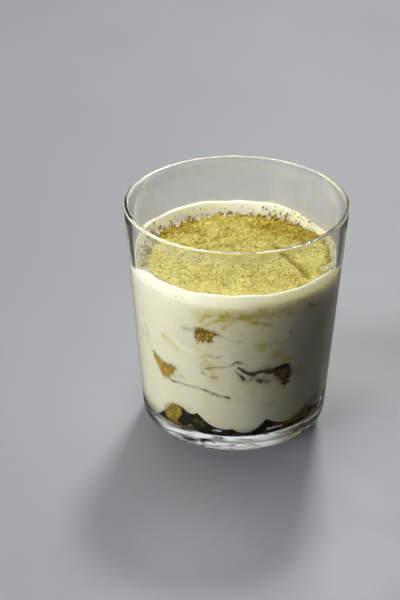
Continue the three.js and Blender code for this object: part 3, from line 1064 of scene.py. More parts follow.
def cream_shape(glass, cream):
    """The cream as rings from the seam's middle out to the lobes, up the wall, over the rim and in.

    Along the wall its radius is the glass's inner radius plus what it reaches into the wall, less
    the depth of the marks and of the windows that the sponge shows in.
    """
    angle = crowded_angles(CREAM_COLUMNS)
    edge, crest = lobe_edge(angle), rim_top(angle, cream)
    wall_low = glass.inside(edge + LOBE_ROUNDING) + INTO_WALL
    wall_high = glass.inside(crest - RIM_ROUNDING) + INTO_WALL
    below = lobed_underside(angle, edge, wall_low)

    up_share = np.linspace(0, 1, WALL_ROWS)[:, None]
    wall_z = mix(edge + LOBE_ROUNDING, crest - RIM_ROUNDING, up_share)
    wall_r = glass.inside(wall_z) + INTO_WALL
    depth, stains_and_shading = wall_marks(around(wall_r, angle, wall_z))
    wall = around(wall_r - depth, angle, wall_z)

    rim, inner_edge = rounded_rim(angle, crest, wall_high)
    top = cream_top_rings(angle, inner_edge, rim[-1, :, 2], glass, cream)
    on_top = top_dust_and_shading(top, angle, glass, cream)
    everywhere = {}
    for kind, values in stains_and_shading.items():
        lower = np.zeros(1 + below.shape[0] * CREAM_COLUMNS)
        # The rim has the top's painted light
        on_rim = np.full(rim.shape[:2], TOP_PAINTED_LIGHT if kind == "light" else 0.0)
        upper = np.concatenate([on_rim, on_top.get(kind, np.zeros(top.shape[:2]))]).ravel()
        everywhere[kind] = np.concatenate([lower, values.ravel(), upper, upper[-1:]])
    rings = np.concatenate([below, wall, rim, top])
    middle = cream.flat / MM + ripple(0, 0)
    return skin((0, 0, SEAM_MIDDLE), rings, (0, 0, middle)), everywhere


# ---- The soaked layer's form ----

SOAKED_COLUMNS = 420
FLOOR_ROWS = 10
SIDE_ROWS = 52
ROOF_ROWS = 12
SOAKED_BACK_OFF = 0.5
SOAKED_OVERLAP = 0.7
ROOF_IN = 0.8
# How far the roof lies above the seam, in the middle and at the wall, so that the two overlap,
# and the radii between which that grows
ROOF_LIFT = (0.5, 1.2)
ROOF_LIFTS = (28, 34)
AIR_POCKET = 0.6
AIR_POCKET_SIZE = 3.2
AIR_POCKETS = (0.14, 0.34)
CLEAR_OF_FLOOR = 1.4
DRY_GAP = 0.15
DRY_CORNER = (6.3, 7.4)
WET_PATCH_SIZE = 4.5
WET_PATCHES = (0.30, 0.45)
CRUMB_PATCH_SIZE = 2.2
# Where more crumbs show: angle, spread and strength, and the strength all round
CRUMBY_PLACES = [(238, 12, 1.0), (308, 18, 0.8)]
CRUMBS_ALL_ROUND = 0.18


def wetness(points):
    """0 where the layer is off the glass, 1 where it clings to it: smoothstep of noise."""
    return smoothstep(rough_noise(points, WET_PATCH_SIZE, 3, seed=37), *WET_PATCHES)


def soaked_shape(glass):
    """The soaked layer as rings along the floor, up the round corner and in under the cream.

    It clings to the glass but for pockets of air, and backs off from it a little under the cream's
    lobes. On the floor it is wet in patches.
    """
    angle = np.linspace(0, 360, SOAKED_COLUMNS, endpoint=False)
    floor_share = np.linspace(0.06, 1, FLOOR_ROWS)[:, None]
    floor_r = floor_share * glass.corner_centre * np.ones_like(angle)
    floor = around(floor_r, angle, glass.floor_height(floor_r))
    floor[..., 2] += mix(DRY_GAP, -INTO_WALL, wetness(floor))

    top = lobe_edge(angle) + SOAKED_OVERLAP
    wall_z = mix(glass.floor, top, np.linspace(0, 1, SIDE_ROWS)[1:, None] ** 1.5)
    wall = around(glass.inside(wall_z), angle, wall_z)
    back_off = SOAKED_BACK_OFF * smoothstep(wall_z - top, -SOAKED_OVERLAP, 0)
    pocket_noise = rough_noise(wall, AIR_POCKET_SIZE, 4, seed=31)
    hollow = AIR_POCKET * smoothstep(pocket_noise, *AIR_POCKETS)
    warp = ragged(wall, EDGE_RAGGEDNESS)
    for sponge in SPONGES.values():
        if sponge.wet:
            hollow = np.maximum(hollow, window(inside_window(angle, wall_z, sponge, warp)))
    clear = smoothstep(wall_z, glass.floor, glass.floor + CLEAR_OF_FLOOR)
    wet = np.maximum(smoothstep(wall_z, *DRY_CORNER), wetness(wall))
    reach = mix(-DRY_GAP, INTO_WALL, wet) - back_off - clear * hollow
    wall = around(glass.inside(wall_z) + reach, angle, wall_z)

    roof_share = np.linspace(1, 0.05, ROOF_ROWS)[1:, None]
    roof_r = roof_share * (glass.inside(top) - SOAKED_BACK_OFF - ROOF_IN)
    lift = mix(*ROOF_LIFT, smoothstep(roof_r, *ROOF_LIFTS))
    roof = around(roof_r, angle, seam(roof_r, angle) + lift)
    rings = np.concatenate([floor, wall, roof])
    lowest = (0, 0, glass.floor + FLOOR_CROWN - INTO_WALL)
    shape = skin(lowest, rings, (0, 0, SEAM_MIDDLE + ROOF_LIFT[0]))
    crumbs = smoothstep(rough_noise(shape[0], CRUMB_PATCH_SIZE, 3, seed=35), -0.05, 0.35)
    amount = CRUMBS_ALL_ROUND + sum(
        strong * bell(angle_between(angle_of(shape[0]), middle) / spread)
        for middle, spread, strong in CRUMBY_PLACES
    )
    return shape, {"crumbs": crumbs * np.clip(amount, 0, 1)}


# ---- Sponge form ----

SPONGE_COLUMNS = 150
SPONGE_ROWS = 92
SPONGE_SWELL = 1.3
BRICK_POWER = 4
# How far the brick would run past the wall, and how far it is pressed into it
OVERRUN = 3.0
SPONGE_IN = 0.08
SPONGE_OFF_FLOOR = 0.1
LUMPS = 0.55
LUMP_SIZE = 4.0
PORE_SIZE = 1.5
PORE_DEPTH = 0.4
# Below a sponge's top, where its cap of painted shade begins and where it is full
CAP_EDGE = (3.4, 1.6)
UNEVEN_DARK = 0.25
UNEVEN_DARK_SIZE = 2.6


def brick_skin(half):
    """Rings of a brick with round edges, and the way out from its middle at each point."""
    longitude = np.radians(np.linspace(0, 360, SPONGE_COLUMNS, endpoint=False))
    latitude = np.radians(np.linspace(-90, 90, SPONGE_ROWS + 2)[1:-1, None])
    axes = (np.cos(latitude) * np.cos(longitude), np.cos(latitude) * np.sin(longitude), np.sin(latitude))
    ball = np.stack(np.broadcast_arrays(*axes), axis=-1)
    poles = [np.tile([0.0, 0.0, end], (1, SPONGE_COLUMNS, 1)) for end in (-1, 1)]
    way = np.concatenate([poles[0], ball, poles[1]])
    size = (np.abs(way) ** BRICK_POWER).sum(axis=-1, keepdims=True) ** (-1 / BRICK_POWER)
    return way * size * half, way


def sponge_shape(sponge, glass, seed):
    """A brick with round edges, |x|^4 + |y|^4 + |z|^4 = 1, made lumpy and porous.

    It lies along a radius of the glass. Where it would pass the wall it is pressed flat on it,
    and its pores stay open there.
    """
    middle, height = (sponge.low + sponge.high) / 2, sponge.high - sponge.low
    swollen = (sponge.width * SPONGE_SWELL, height * SPONGE_SWELL)
    half = np.array([sponge.depth + OVERRUN, *swollen]) / 2
    brick, way = brick_skin(half)
    where = brick + 50 * seed
    lump = LUMPS * rough_noise(where, LUMP_SIZE, 2, seed)
    holes = smoothstep(0.5 - cell_distance(where, PORE_SIZE, seed), 0.0, 0.3)
    torn = smoothstep(rough_noise(where, PORE_SIZE, 3, seed + 7), 0.0, 0.4)
    pores = np.clip(0.8 * holes + 0.8 * torn, 0, 1)
    brick += way * (lump - 2 * PORE_DEPTH * pores)[..., None]

    y, z = leaned(brick[..., 1], brick[..., 2], sponge.lean)
    x = brick[..., 0] + glass.inside(middle) + OVERRUN - half[0]
    z = np.maximum(z + middle, glass.floor_height(np.hypot(x, y)) + SPONGE_OFF_FLOOR)
    limit = glass.inside(z) + SPONGE_IN - 0.2 * PORE_DEPTH * pores
    turn = np.degrees(np.arctan2(y, x)) + sponge.angle
    points = around(np.minimum(np.hypot(x, y), limit), turn, z)
    shape = skin(points[0, 0], points[1:-1], points[-1, 0])
    cap_low, cap_high = (sponge.high - below for below in CAP_EDGE)
    # Painted shade by piece and on the cap, painted light where that is below 0, and uneven tone from
    # noise
    dark = sponge.dark + sponge.cap * smoothstep(z, cap_low, cap_high)
    dark += UNEVEN_DARK * rough_noise(where, UNEVEN_DARK_SIZE, 2, seed + 9)
    looks = {"pores": pores, "dark": np.clip(dark, 0, 1), "fair": np.clip(-dark, 0, 1)}
    return shape, {
        name: np.concatenate([[values[0, 0]], values[1:-1].ravel(), [values[-1, 0]]])
        for name, values in looks.items()
    }


# ---- Powder's form ----

POWDER_GRID = 300
POWDER_SINK = 0.5
# The powder's underside lies this far under the cream's level
POWDER_BASE = 2
# Angle and radius of the powder's edge
POWDER_EDGE = [
    (5, 36.8), (20, 37.0), (34, 36.6), (45, 35.8), (73, 34.4), (93, 33.8), (105, 33.8),
    (115, 33.8), (131, 33.4), (152, 33.2), (165, 33.6), (178, 34.4), (198, 36.0), (215, 36.4),
    (230, 36.6), (270, 36.6), (310, 36.6), (352, 36.4),
]
# Its raggedness: strength, size, octaves and seed of two noises, and how wide its edge fades in
# front and behind
EDGE_NOISES = [(3.4, 2.2, 4, 41), (1.3, 7, 2, 42)]
EDGE_SHIFT = 0.9
EDGE_FADES = (3.2, 1.1)
POWDER_CLIMB = (0.45, 0.85)
# Where damp clumps gather: x, y, size and strength
DARK_PATCHES = [
    (20, 24, 7.5, 1.1), (26, 16, 6, 1.0), (8, 28, 8, 0.45), (-20, 23, 7, 0.6),
    (24.5, -10, 3.2, 0.5), (-27, 16, 5, 0.4),
]
POWDER_FULLNESS = 0.75
# Heights of the powder's relief in mm, the same all over or at the front and at the back
SWELLS = 0.20
RIDGES = (0.03, 0.22)
CLUMPS = (0.16, 0.60)
BITS = (0.10, 0.42)
GRAININESS = (0.10, 0.26)
CLUMP_SPACING = 1.25
BIT_SPACING = 0.75
GRAIN_SIZE = 0.8


def disc_grid(count):
    """A square grid bent onto the unit disc, each square ring onto a circle.

    Gives the places and the quads, and the order of the points round the edge.
    """
    side = np.linspace(-1, 1, count)
    across, up = np.meshgrid(side, side)
    wide = np.abs(across) >= np.abs(up)
    radius = np.where(wide, across, up)
    other = np.where(wide, up, across)
    share = np.divide(other, radius, out=np.zeros_like(radius), where=radius != 0)
    turn = np.where(wide, np.pi / 4 * share, np.pi / 2 - np.pi / 4 * share)
    index = np.arange(count * count).reshape(count, count)
    quads = np.stack([index[:-1, :-1], index[:-1, 1:], index[1:, 1:], index[1:, :-1]], axis=-1)
    quads = quads.reshape(-1, 4)
    edge = np.concatenate([index[0, :-1], index[:-1, -1], index[-1, :0:-1], index[:0:-1, 0]])
    return (radius * np.cos(turn)).ravel(), (radius * np.sin(turn)).ravel(), quads, edge


def powder_edge(angle):
    """Radius to which the powder reaches at an angle."""
    angles, radii = zip(*POWDER_EDGE)
    return np.interp(angle % 360, angles, radii, period=360)


def powder_cover(x, y, glass, cream):
    """1 where powder lies thick, falling to 0 in ragged bits past its edge and up the rim."""
    places = np.stack([x, y, 0 * x], axis=-1)
    radius, angle = np.hypot(x, y), np.degrees(np.arctan2(y, x))
    past = radius - powder_edge(angle) + EDGE_SHIFT
    for strong, size, octaves, seed in EDGE_NOISES:
        past = past + strong * rough_noise(places, size, octaves, seed)
    width = mix(*EDGE_FADES, smoothstep(y, -14, 6))
    climb = rim_climb(radius, angle, glass, cream)
    return fade_out(past, -width, 0.2) * (1 - smoothstep(climb, *POWDER_CLIMB))


def powder_darkness(x, y):
    """Where damp clumps gather: a bell for each patch, and a little everywhere."""
    dark = 0.12 + 0.25 * smoothstep(y, -6, 18)
    for patch_x, patch_y, size, strong in DARK_PATCHES:
        dark = dark + strong * bell(np.hypot(x - patch_x, y - patch_y) / size)
    return np.clip(dark, 0, 1)


def powder_relief(x, y, dark):
    """Height of the grained surface above the powder's level, its clumps and its small pits.

    Swells, ridges and grain are noise of falling size. Clumps and bits are round cells, and the
    clumps lie where the powder is heaped.
    """
    places = np.stack([x, y, 0 * x], axis=-1)
    back = smoothstep(y, -12, 10)
    swells = rough_noise(places, 8, 3, seed=52)
    ridges = 1 - np.abs(rough_noise(places, 6.5, 3, seed=51)) * 2.2
    heaped = smoothstep(rough_noise(places, 3.0, 3, seed=54) + 1.1 * dark, 0.0, 0.8)
    clumps = smoothstep(0.6 - cell_distance(places, CLUMP_SPACING, 53), 0.0, 0.4) * heaped
    bits = smoothstep(0.55 - cell_distance(places, BIT_SPACING, 56), 0.0, 0.35)
    grain = rough_noise(places, GRAIN_SIZE, 2, seed=55)
    layers = ((RIDGES, ridges), (CLUMPS, clumps), (BITS, bits), (GRAININESS, grain))
    height = SWELLS * swells + sum(mix(*heights, back) * layer for heights, layer in layers)
    return height, clumps, smoothstep(-grain, 0.1, 0.5)


def powder_shape(glass, cream, powder):
    """A sheet on the cream's top, as thick as its cover says, grained by its relief.

    Where there is no cover it dips under the cream. Its underside is a fan to one point.
    """
    unit_x, unit_y, quads, edge = disc_grid(POWDER_GRID)
    reach = mouth_radius(glass, cream) - RIM_THICKNESS - 0.2
    x, y = reach * unit_x, reach * unit_y
    cover = powder_cover(x, y, glass, cream)
    dark = powder_darkness(x, y)
    relief, clumps, pits = powder_relief(x, y, dark)
    height = cream_top(x, y, glass, cream) + cover * (powder.thickness / MM * POWDER_FULLNESS + relief)
    height -= (1 - smoothstep(cover, 0, 0.25)) * POWDER_SINK
    low = cream.flat / MM - POWDER_BASE
    hem = np.stack([x[edge], y[edge], np.full(len(edge), low)], axis=-1)
    points = np.concatenate([np.stack([x, y, height], axis=-1), hem, [(0, 0, low)]])
    hem_index = len(x) + np.arange(len(edge))
    hem_after, edge_after = np.roll(hem_index, -1), np.roll(edge, -1)
    quads = np.concatenate([quads, np.stack([hem_index, hem_after, edge_after, edge], axis=-1)])
    fan = np.stack([np.full(len(edge), len(points) - 1), hem_after, hem_index], axis=-1)
    # Darker in the grain's pits, partly painted shade and partly olive grains, and painted shade along
    # the folds' creases
    crease = smoothstep(-fold_height(x, y), 0.3, 1.3)
    tone = clumps * (0.10 + 0.75 * dark) + pits * (0.25 + 0.3 * dark)
    tone = np.clip(tone + 0.7 * (dark - 0.3) + 0.5 * crease, 0, 1)
    return (points, quads, fan), {"clumps": np.append(tone, np.zeros(len(edge) + 1))}


# ---- Loose grains ----

# An eight-sided grain: its six corners, and its faces
GRAIN_CORNERS = np.concatenate([np.eye(3), -np.eye(3)])[[0, 3, 1, 4, 2, 5]]
GRAIN_FACES = np.array([
    (0, 2, 4), (2, 1, 4), (1, 3, 4), (3, 0, 4), (2, 0, 5), (1, 2, 5), (3, 1, 5), (0, 3, 5),
])
GRAIN_SEED = 8
TRIES_FOR_EACH = 14
# Bands of loose clumps just past the powder's edge: angle, spread, how far past, how many
CLUMP_BANDS = [
    (150, 14, 0.8, 170), (118, 14, 0.4, 90), (85, 20, 0.2, 90), (50, 14, 0.6, 80), (190, 10, 0.2, 30),
]
BAND_WIDTH = 1.3
CLUMP_SIZES = (0.30, 0.75)
# Specks on the wall above the rim: angle, spread, how high they go, and their share
WALL_SPECKS = [(35, 22, 2.6, 0.55), (62, 16, 1.2, 0.2), (8, 14, 1.6, 0.25)]
WALL_SPECK_SHARE = 0.03
WALL_SPECK_SIZES = (0.09, 0.24)
# Specks on the rim: the angles they lie between, how far in from the glass, and their sizes
RIM_SPECK_SHARE = 0.02
RIM_SPECK_ANGLES = (140, 400)
RIM_SPECKS_IN = (0.3, 1.6)
RIM_SPECK_SIZES = (0.10, 0.30)


def top_grain_places(count, random, glass, cream):
    """Places of grains on the top: most near the powder's ragged edge, more where it is dark."""
    tries = count * TRIES_FOR_EACH
    angle = random.uniform(0, 360, tries)
    limit = mouth_radius(glass, cream) - RIM_ROUNDING
    radius = limit * np.sqrt(random.uniform(0, 1, tries))
    x, y = around(radius, angle, 0.0).T[:2]
    past = radius - powder_edge(angle)
    near_edge = bell((past + 0.5) / 1.5) * (past < 2.8) * mix(0.08, 1.0, smoothstep(y, -12, 8))
    left_bare = bell(angle_between(angle, 160) / 24) * bell((radius - 33.8) / 2.2)
    on_powder = (0.20 + 0.35 * powder_darkness(x, y)) * (past < 0)
    chance = 0.34 * near_edge + on_powder + 0.22 * left_bare
    kept = random.uniform(0, 1, tries) < chance
    return x[kept][:count], y[kept][:count]


def top_grains(count, largest, random, glass, cream, thickness):
    """Grains on and round the powder: their middles, half sunk in its cover, and their sizes."""
    x, y = top_grain_places(count, random, glass, cream)
    outlying = np.hypot(x, y) - powder_edge(np.degrees(np.arctan2(y, x))) > -2
    upper = np.where(outlying & (y > -8), 1.0, 0.7)
    size = largest * mix(0.24, upper, random.power(0.7, len(x)) ** 2.6)
    cover = powder_cover(x, y, glass, cream)
    level = cream_top(x, y, glass, cream) + cover * thickness * 0.85 + 0.25 * size
    return np.stack([x, y, level], axis=-1), size


def clump_band(band, random, glass, cream, thickness):
    """Clumps scattered along a stretch of the powder's edge: their middles and sizes."""
    middle, spread, past_edge, number = band
    angle = random.normal(middle, spread, number)
    radius = powder_edge(angle) + random.normal(past_edge, BAND_WIDTH, number)
    radius = np.minimum(radius, mouth_radius(glass, cream) - RIM_ROUNDING)
    x, y = around(radius, angle, 0.0).T[:2]
    size = mix(*CLUMP_SIZES, random.power(0.8, number) ** 2)
    cover = powder_cover(x, y, glass, cream)
    level = cream_top(x, y, glass, cream) + 0.85 * (cover * thickness) + 0.3 * size
    return np.stack([x, y, level], axis=-1), size


def wall_specks(place, count, random, glass, cream):
    """Specks stuck on the wall above the rim: their middles and sizes."""
    middle, spread, rise, share = place
    number = int(count * WALL_SPECK_SHARE * share)
    angle = random.normal(middle, spread / 2, number)
    z = rim_top(angle, cream) - 0.4 + np.abs(random.normal(0, rise, number))
    return around(glass.inside(z) - 0.06, angle, z), random.uniform(*WALL_SPECK_SIZES, number)


def rim_specks(count, random, glass, cream):
    """Specks on the crest of the cream's rim: their middles and sizes."""
    number = int(count * RIM_SPECK_SHARE)
    angle = random.uniform(*RIM_SPECK_ANGLES, number)
    crest = rim_top(angle, cream)
    radius = glass.inside(crest) - random.uniform(*RIM_SPECKS_IN, number)
    return around(radius, angle, crest + 0.05), random.uniform(*RIM_SPECK_SIZES, number)


def grains_shape(glass, cream, powder):
    """Small eight-sided grains, each stretched, turned and dented at random from one seed."""
    random = np.random.default_rng(GRAIN_SEED)
    count, thickness = powder.grain_count, powder.thickness / MM
    largest = powder.grain / MM / 2
    groups = [top_grains(count, largest, random, glass, cream, thickness)]
    groups += [clump_band(band, random, glass, cream, thickness) for band in CLUMP_BANDS]
    groups += [wall_specks(place, count, random, glass, cream) for place in WALL_SPECKS]
    groups.append(rim_specks(count, random, glass, cream))
    centre, size = (np.concatenate(values) for values in zip(*groups))

    total = len(centre)
    stretch = random.uniform(0.65, 1.25, (total, 6, 1)) * random.uniform(0.75, 1.2, (total, 1, 3))
    spin = np.linalg.qr(random.normal(size=(total, 3, 3)))[0]
    spin[np.linalg.det(spin) < 0, :, 0] *= -1
    corners = np.einsum("nij,nkj->nki", spin, GRAIN_CORNERS * stretch) * size[:, None, None]
    points = (centre[:, None] + corners).reshape(-1, 3)
    faces = (GRAIN_FACES + 6 * np.arange(total)[:, None, None]).reshape(-1, 3)
    tone = random.normal(0.15, 0.4, total) + 0.6 * powder_darkness(*centre.T[:2])
    tone += 0.5 * (size > 0.5 * largest) - 0.25 * (1 - smoothstep(centre[:, 1], -16, 2))
    tone = np.clip(tone, 0, 1)
    return (points, np.zeros((0, 4), int), faces), {"clumps": np.repeat(tone, 6)}


# ---- Film on the glass above the cream ----


FILM_COLUMNS = 320
FILM_ROWS = 44
# How far the film's two faces lie in from the glass, and how far it stays under rim and lip
FILM_IN = (0.03, 0.11)
FILM_UNDER = (0.7, 1.6)
FILM_OPACITY = 0.34
FILM_HAZE = 0.10
SPLASH = 0.7
# Smears: angle, spread and strength
SMEARS = [
    (200, 20, 0.5), (338, 16, 0.5), (36, 24, 0.4), (62, 9, 0.3), (88, 18, 0.15), (150, 14, 0.25),
]
# The band under the lip: strength, how far down, and half width
LIP_BAND = (0.42, 3.4, 2.2)


def film_shape(glass, cream):
    """A film a tenth of a millimetre thick inside the wall, from the cream's rim to the lip.

    A faint haze covers it all. It is stronger in splashes over the rim, in a few smears and in a
    band under the lip, each of them a bell.
    """
    angle = np.linspace(0, 360, FILM_COLUMNS, endpoint=False)
    low = rim_top(angle, cream) - FILM_UNDER[0]
    share = np.linspace(0, 1, FILM_ROWS)[:, None]
    z = mix(low, glass.height - FILM_UNDER[1], share)
    outer, inner = (around(glass.inside(z) - far_in, angle, z) for far_in in FILM_IN)
    splash = 2.0 + 2.0 * rough_noise(outer * (0.5, 0.5, 0), 5, 3, seed=61)
    behind = mix(0.12, 1.0, smoothstep(outer[..., 1], -24, 4))
    strong = FILM_HAZE + SPLASH * behind * bell((z - low) / np.maximum(splash, 0.7))
    for middle, spread, smear in SMEARS:
        strong = strong + smear * bell(angle_between(angle, middle) / spread) * (1 - 0.55 * share)
    lip_strength, lip_down, lip_width = LIP_BAND
    strong = strong + lip_strength * bell((glass.height - z - lip_down) / lip_width)
    strong = np.clip(strong, 0, 1)
    return band(np.concatenate([outer, inner[::-1]])), {"smear": np.concatenate([strong, strong[::-1]])}


# ---- Finishes ----

PAINTED_LIGHT_CREAM = (0.965, 0.95, 0.84)
DUST_COLOUR = (0.83, 0.76, 0.32)


def glass_finish(settings):
    """Clear glass with faint rubbed patches, and a foot that is mottled and waved round the glass.

    Light that only casts shadow passes straight through.
    """
    recipe = Recipe("tumbler_glass")
    rubbed = recipe.patches(14, 4.0, 0.52, 0.75, 0.0, 0.035)
    mottled = recipe.patches(5, 3.0, 0.35, 0.65, *FOOT_FROST)
    foot = recipe.attribute("foot")
    rubbed = recipe.maths("ADD", rubbed, recipe.maths("MULTIPLY", foot, mottled))
    wave = recipe.bump(recipe.noise(22, 1.0), 0.12)
    streaks = recipe.maths("MULTIPLY", recipe.noise(7.0, 1.0, (1, 1, 3.5)), foot)
    wave = recipe.bump(streaks, 0.10, wave)
    tint = tuple(settings.tint)
    shader = recipe.surface(tint, rubbed, Normal=wave, IOR=1.5, Transmission_Weight=1.0)
    shadow = recipe.node("ShaderNodeLightPath").outputs["Is Shadow Ray"]
    return recipe.finish(recipe.mixed_with_clear(shadow, shader))


def film_finish(settings):
    """A milky film, streaked downwards, where the smear attribute is strong."""
    recipe = Recipe("cream_film")
    streaks = recipe.levels(recipe.noise(2.2, 3.0, (1, 1, 0.10)), 0.3, 0.75, 0.4, 1.0)
    spots = recipe.patches(1.6, 2.0, 0.4, 0.65, 0.8, 1.0)
    strong = recipe.maths("MULTIPLY", recipe.attribute("smear"), streaks)
    opacity = recipe.maths("MULTIPLY", recipe.maths("MULTIPLY", strong, spots), FILM_OPACITY)
    shader = recipe.surface(tuple(settings.ivory), 0.8, Specular_IOR_Level=0.1)
    return recipe.finish(recipe.mixed_with_clear(recipe.maths("SUBTRACT", 1.0, opacity), shader))


def cream_finish(settings):
    """Ivory cream that light sinks into, with tea and crumb stains, powder dust, painted shade and
    painted light where the attributes say.
    """
    recipe = Recipe("ivory_cream")
    cloud = recipe.patches(11, 3.0, 0.3, 0.7)
    ivory = tuple(settings.ivory)
    base = recipe.blend(cloud, tinted(ivory, 0.95, 0.945, 0.90), ivory)
    base = recipe.stained_or_painted(base, "light", PAINTED_LIGHT_CREAM)
    base = recipe.stained_or_painted(base, "dust", DUST_COLOUR)
    for name in ("syrup", "shade", "crumb"):
        base = recipe.stained_or_painted(base, name, tuple(getattr(settings, name)))
    roughness = recipe.patches(3.5, 4.0, 0.3, 0.7, 0.34, 0.5)
    soft = recipe.bump(recipe.noise(1.6, 3.0), 0.05)
    return recipe.finish(recipe.surface(
        base, roughness, Normal=soft, Subsurface_Weight=1.0, Subsurface_Radius=(1.0, 0.88, 0.12),
        Subsurface_Scale=1.8 * MM, Specular_IOR_Level=0.12,
    ))


def sponge_finish(settings, name, wet):
    """Golden crumb from pale to brown, with painted shade in its pores and on pieces set dark, and
    painted light on pieces set fair; wet pieces are glossier and olive.
    """
    recipe = Recipe(name)
    crumb, pore_and_shade = tuple(settings.crumb), tuple(settings.pore_and_shade)
    patches = recipe.patches(1.5, 4.0, 0.44, 0.58)
    grain = recipe.levels(recipe.noise(0.6, 3.0, (1, 1, 0.6)), 0.47, 0.60)
    base = recipe.blend(patches, tinted(crumb, 0.50, 0.40, 0.30), crumb)
    base = recipe.blend(recipe.levels(grain, 0, 1, 0, 0.85), base, pore_and_shade)
    base = recipe.blend(recipe.levels(recipe.attribute("pores"), 0.2, 1.0, 0, 0.6), base, pore_and_shade)
    base = recipe.stained_or_painted(base, "fair", crumb)
    base = recipe.stained_or_painted(base, "dark", tinted(pore_and_shade, 0.4, 0.4, 0.4))
    bump = recipe.bump(recipe.noise(0.35, 3.0), 0.12)
    if wet:
        olive = recipe.patches(2.6, 3.0, 0.45, 0.60, 0, 0.85)
        base = recipe.blend(olive, base, tuple(settings.soaked_crumb))
        gloss = recipe.levels(grain, 0, 1, 0.3, 0.5)
        return recipe.finish(recipe.surface(base, gloss, Normal=bump, Specular_IOR_Level=0.15))
    roughness = recipe.levels(grain, 0, 1, 0.7, 0.9)
    return recipe.finish(recipe.surface(
        base, roughness, Normal=bump, Subsurface_Weight=0.15, Subsurface_Radius=(1.0, 0.6, 0.25),
        Subsurface_Scale=0.5 * MM, Specular_IOR_Level=0.1,
    ))


def soaked_finish(settings):
    """Nearly black, glossy syrup-soaked sponge with olive brown crumbs."""
    recipe = Recipe("soaked_sponge")
    fine = recipe.patches(0.9, 4.0, 0.42, 0.66)
    amount = recipe.maths("MULTIPLY", recipe.attribute("crumbs"), fine)
    base = recipe.blend(amount, tuple(settings.soaked), tuple(settings.soaked_crumb))
    roughness = recipe.patches(1.8, 3.0, 0.35, 0.65, 0.10, 0.42)
    bump = recipe.bump(recipe.noise(0.8, 3.0), 0.15)
    return recipe.finish(recipe.surface(base, roughness, Normal=bump, Specular_IOR_Level=0.1))


def powder_finish(settings):
    """Dry, matt tea powder: pale green with fine dark specks, olive where it clumps, with painted shade
    in its pits and creases.
    """
    recipe = Recipe("green_tea_powder")
    powder, clump = tuple(settings.powder), tuple(settings.clump)
    paler, duller = tinted(powder, 1.14, 1.16, 1.35), tinted(powder, 0.80, 0.78, 0.62)
    base = recipe.blend(recipe.patches(5, 3.0, 0.35, 0.65), duller, paler)
    base = recipe.blend(recipe.patches(0.7, 3.0, 0.30, 0.62), duller, base)
    specks = recipe.patches(0.65, 3.0, 0.54, 0.68, 0.0, 0.62)
    base = recipe.stained_or_painted(recipe.blend(specks, base, clump), "clumps", clump)
    bump = recipe.bump(recipe.noise(0.45, 3.0), 0.32)
    return recipe.finish(recipe.surface(base, 0.92, Normal=bump, Specular_IOR_Level=0.1))


def table_finish(settings):
    """A smooth pale table top with faint clouds, which throws little light back on the cream.

    Rays that have already bounced off something see the darker bounce colour.
    """
    recipe = Recipe("pale_table")
    pale = tuple(settings.table)
    base = recipe.blend(recipe.noise(140, 5.0), tinted(pale, 0.96, 0.96, 0.96), pale)
    path = recipe.node("ShaderNodeLightPath").outputs
    bounces = recipe.maths("ADD", path["Diffuse Depth"], path["Glossy Depth"])
    bounced = recipe.maths("MINIMUM", bounces, 1.0)
    base = recipe.blend(bounced, base, tuple(settings.table_bounce))
    roughness = recipe.patches(60, 4.0, 0.3, 0.7, 0.5, 0.62)
    bump = recipe.bump(recipe.noise(2.0, 4.0), 0.04)
    return recipe.finish(recipe.surface(base, roughness, Normal=bump))


# ---- Stage ----

TARGET = (0.0, 0.0, 0.045)
CAMERA_PLACE = (0.0, -0.4756, 0.3193)
CAMERA_PITCH = 0.52005
CAMERA_YAW = -0.02853
CAMERA_LENS = 85
TABLE_DROP = 0.05
TABLE_FLAT = 2200
TABLE_REACH = 6000
TABLE_COLUMNS = 96
BACKDROP_BEND = 4500
GLOW_AZIMUTH = 77
GLOW_ELEVATION = 38
GLOW_SPREAD = (40, 14)
SKY_COLOUR = (0.93, 0.97, 1.0, 1.0)
# Light runs along inside the thick glass base for many reflections before it comes out
LIGHT_BOUNCES = {"max_bounces": 24, "glossy_bounces": 16, "transmission_bounces": 16}


class Softbox(NamedTuple):
    """A square light: its angles round and above the table, distance and side in metres, colour.

    One that isn't seen through glass makes no burnt white square in the tumbler's base.
    """

    azimuth: float
    elevation: float
    distance: float
    side: float
    colour: tuple
    through_glass: bool = True


SOFTBOXES = {
    "key": Softbox(80, 43, 1.1, 0.16, (1.0, 0.985, 0.96), False),
    "fill": Softbox(211, 30, 1.0, 0.6, (0.98, 0.99, 1.0)),
    "top": Softbox(120, 76, 1.0, 0.6, (1.0, 1.0, 1.0)),
}


def direction(azimuth, elevation):
    """Unit vector at an angle round the table and an angle above it, in degrees."""
    return around(math.cos(math.radians(elevation)), azimuth, math.sin(math.radians(elevation)))


def add_softbox(name, box, power):
    """An area light, turned to the glass."""
    lamp = bpy.data.lights.new(name, "AREA")
    lamp.size = box.side
    lamp.energy = power
    lamp.color = box.colour
    thing = bpy.data.objects.new(name, lamp)
    thing.location = np.array(TARGET) + box.distance * direction(box.azimuth, box.elevation)
    tilt, turn = 90 - box.elevation, 90 + box.azimuth
    thing.rotation_euler = (math.radians(tilt), 0, math.radians(turn))
    thing.visible_transmission = box.through_glass
    bpy.context.scene.collection.objects.link(thing)


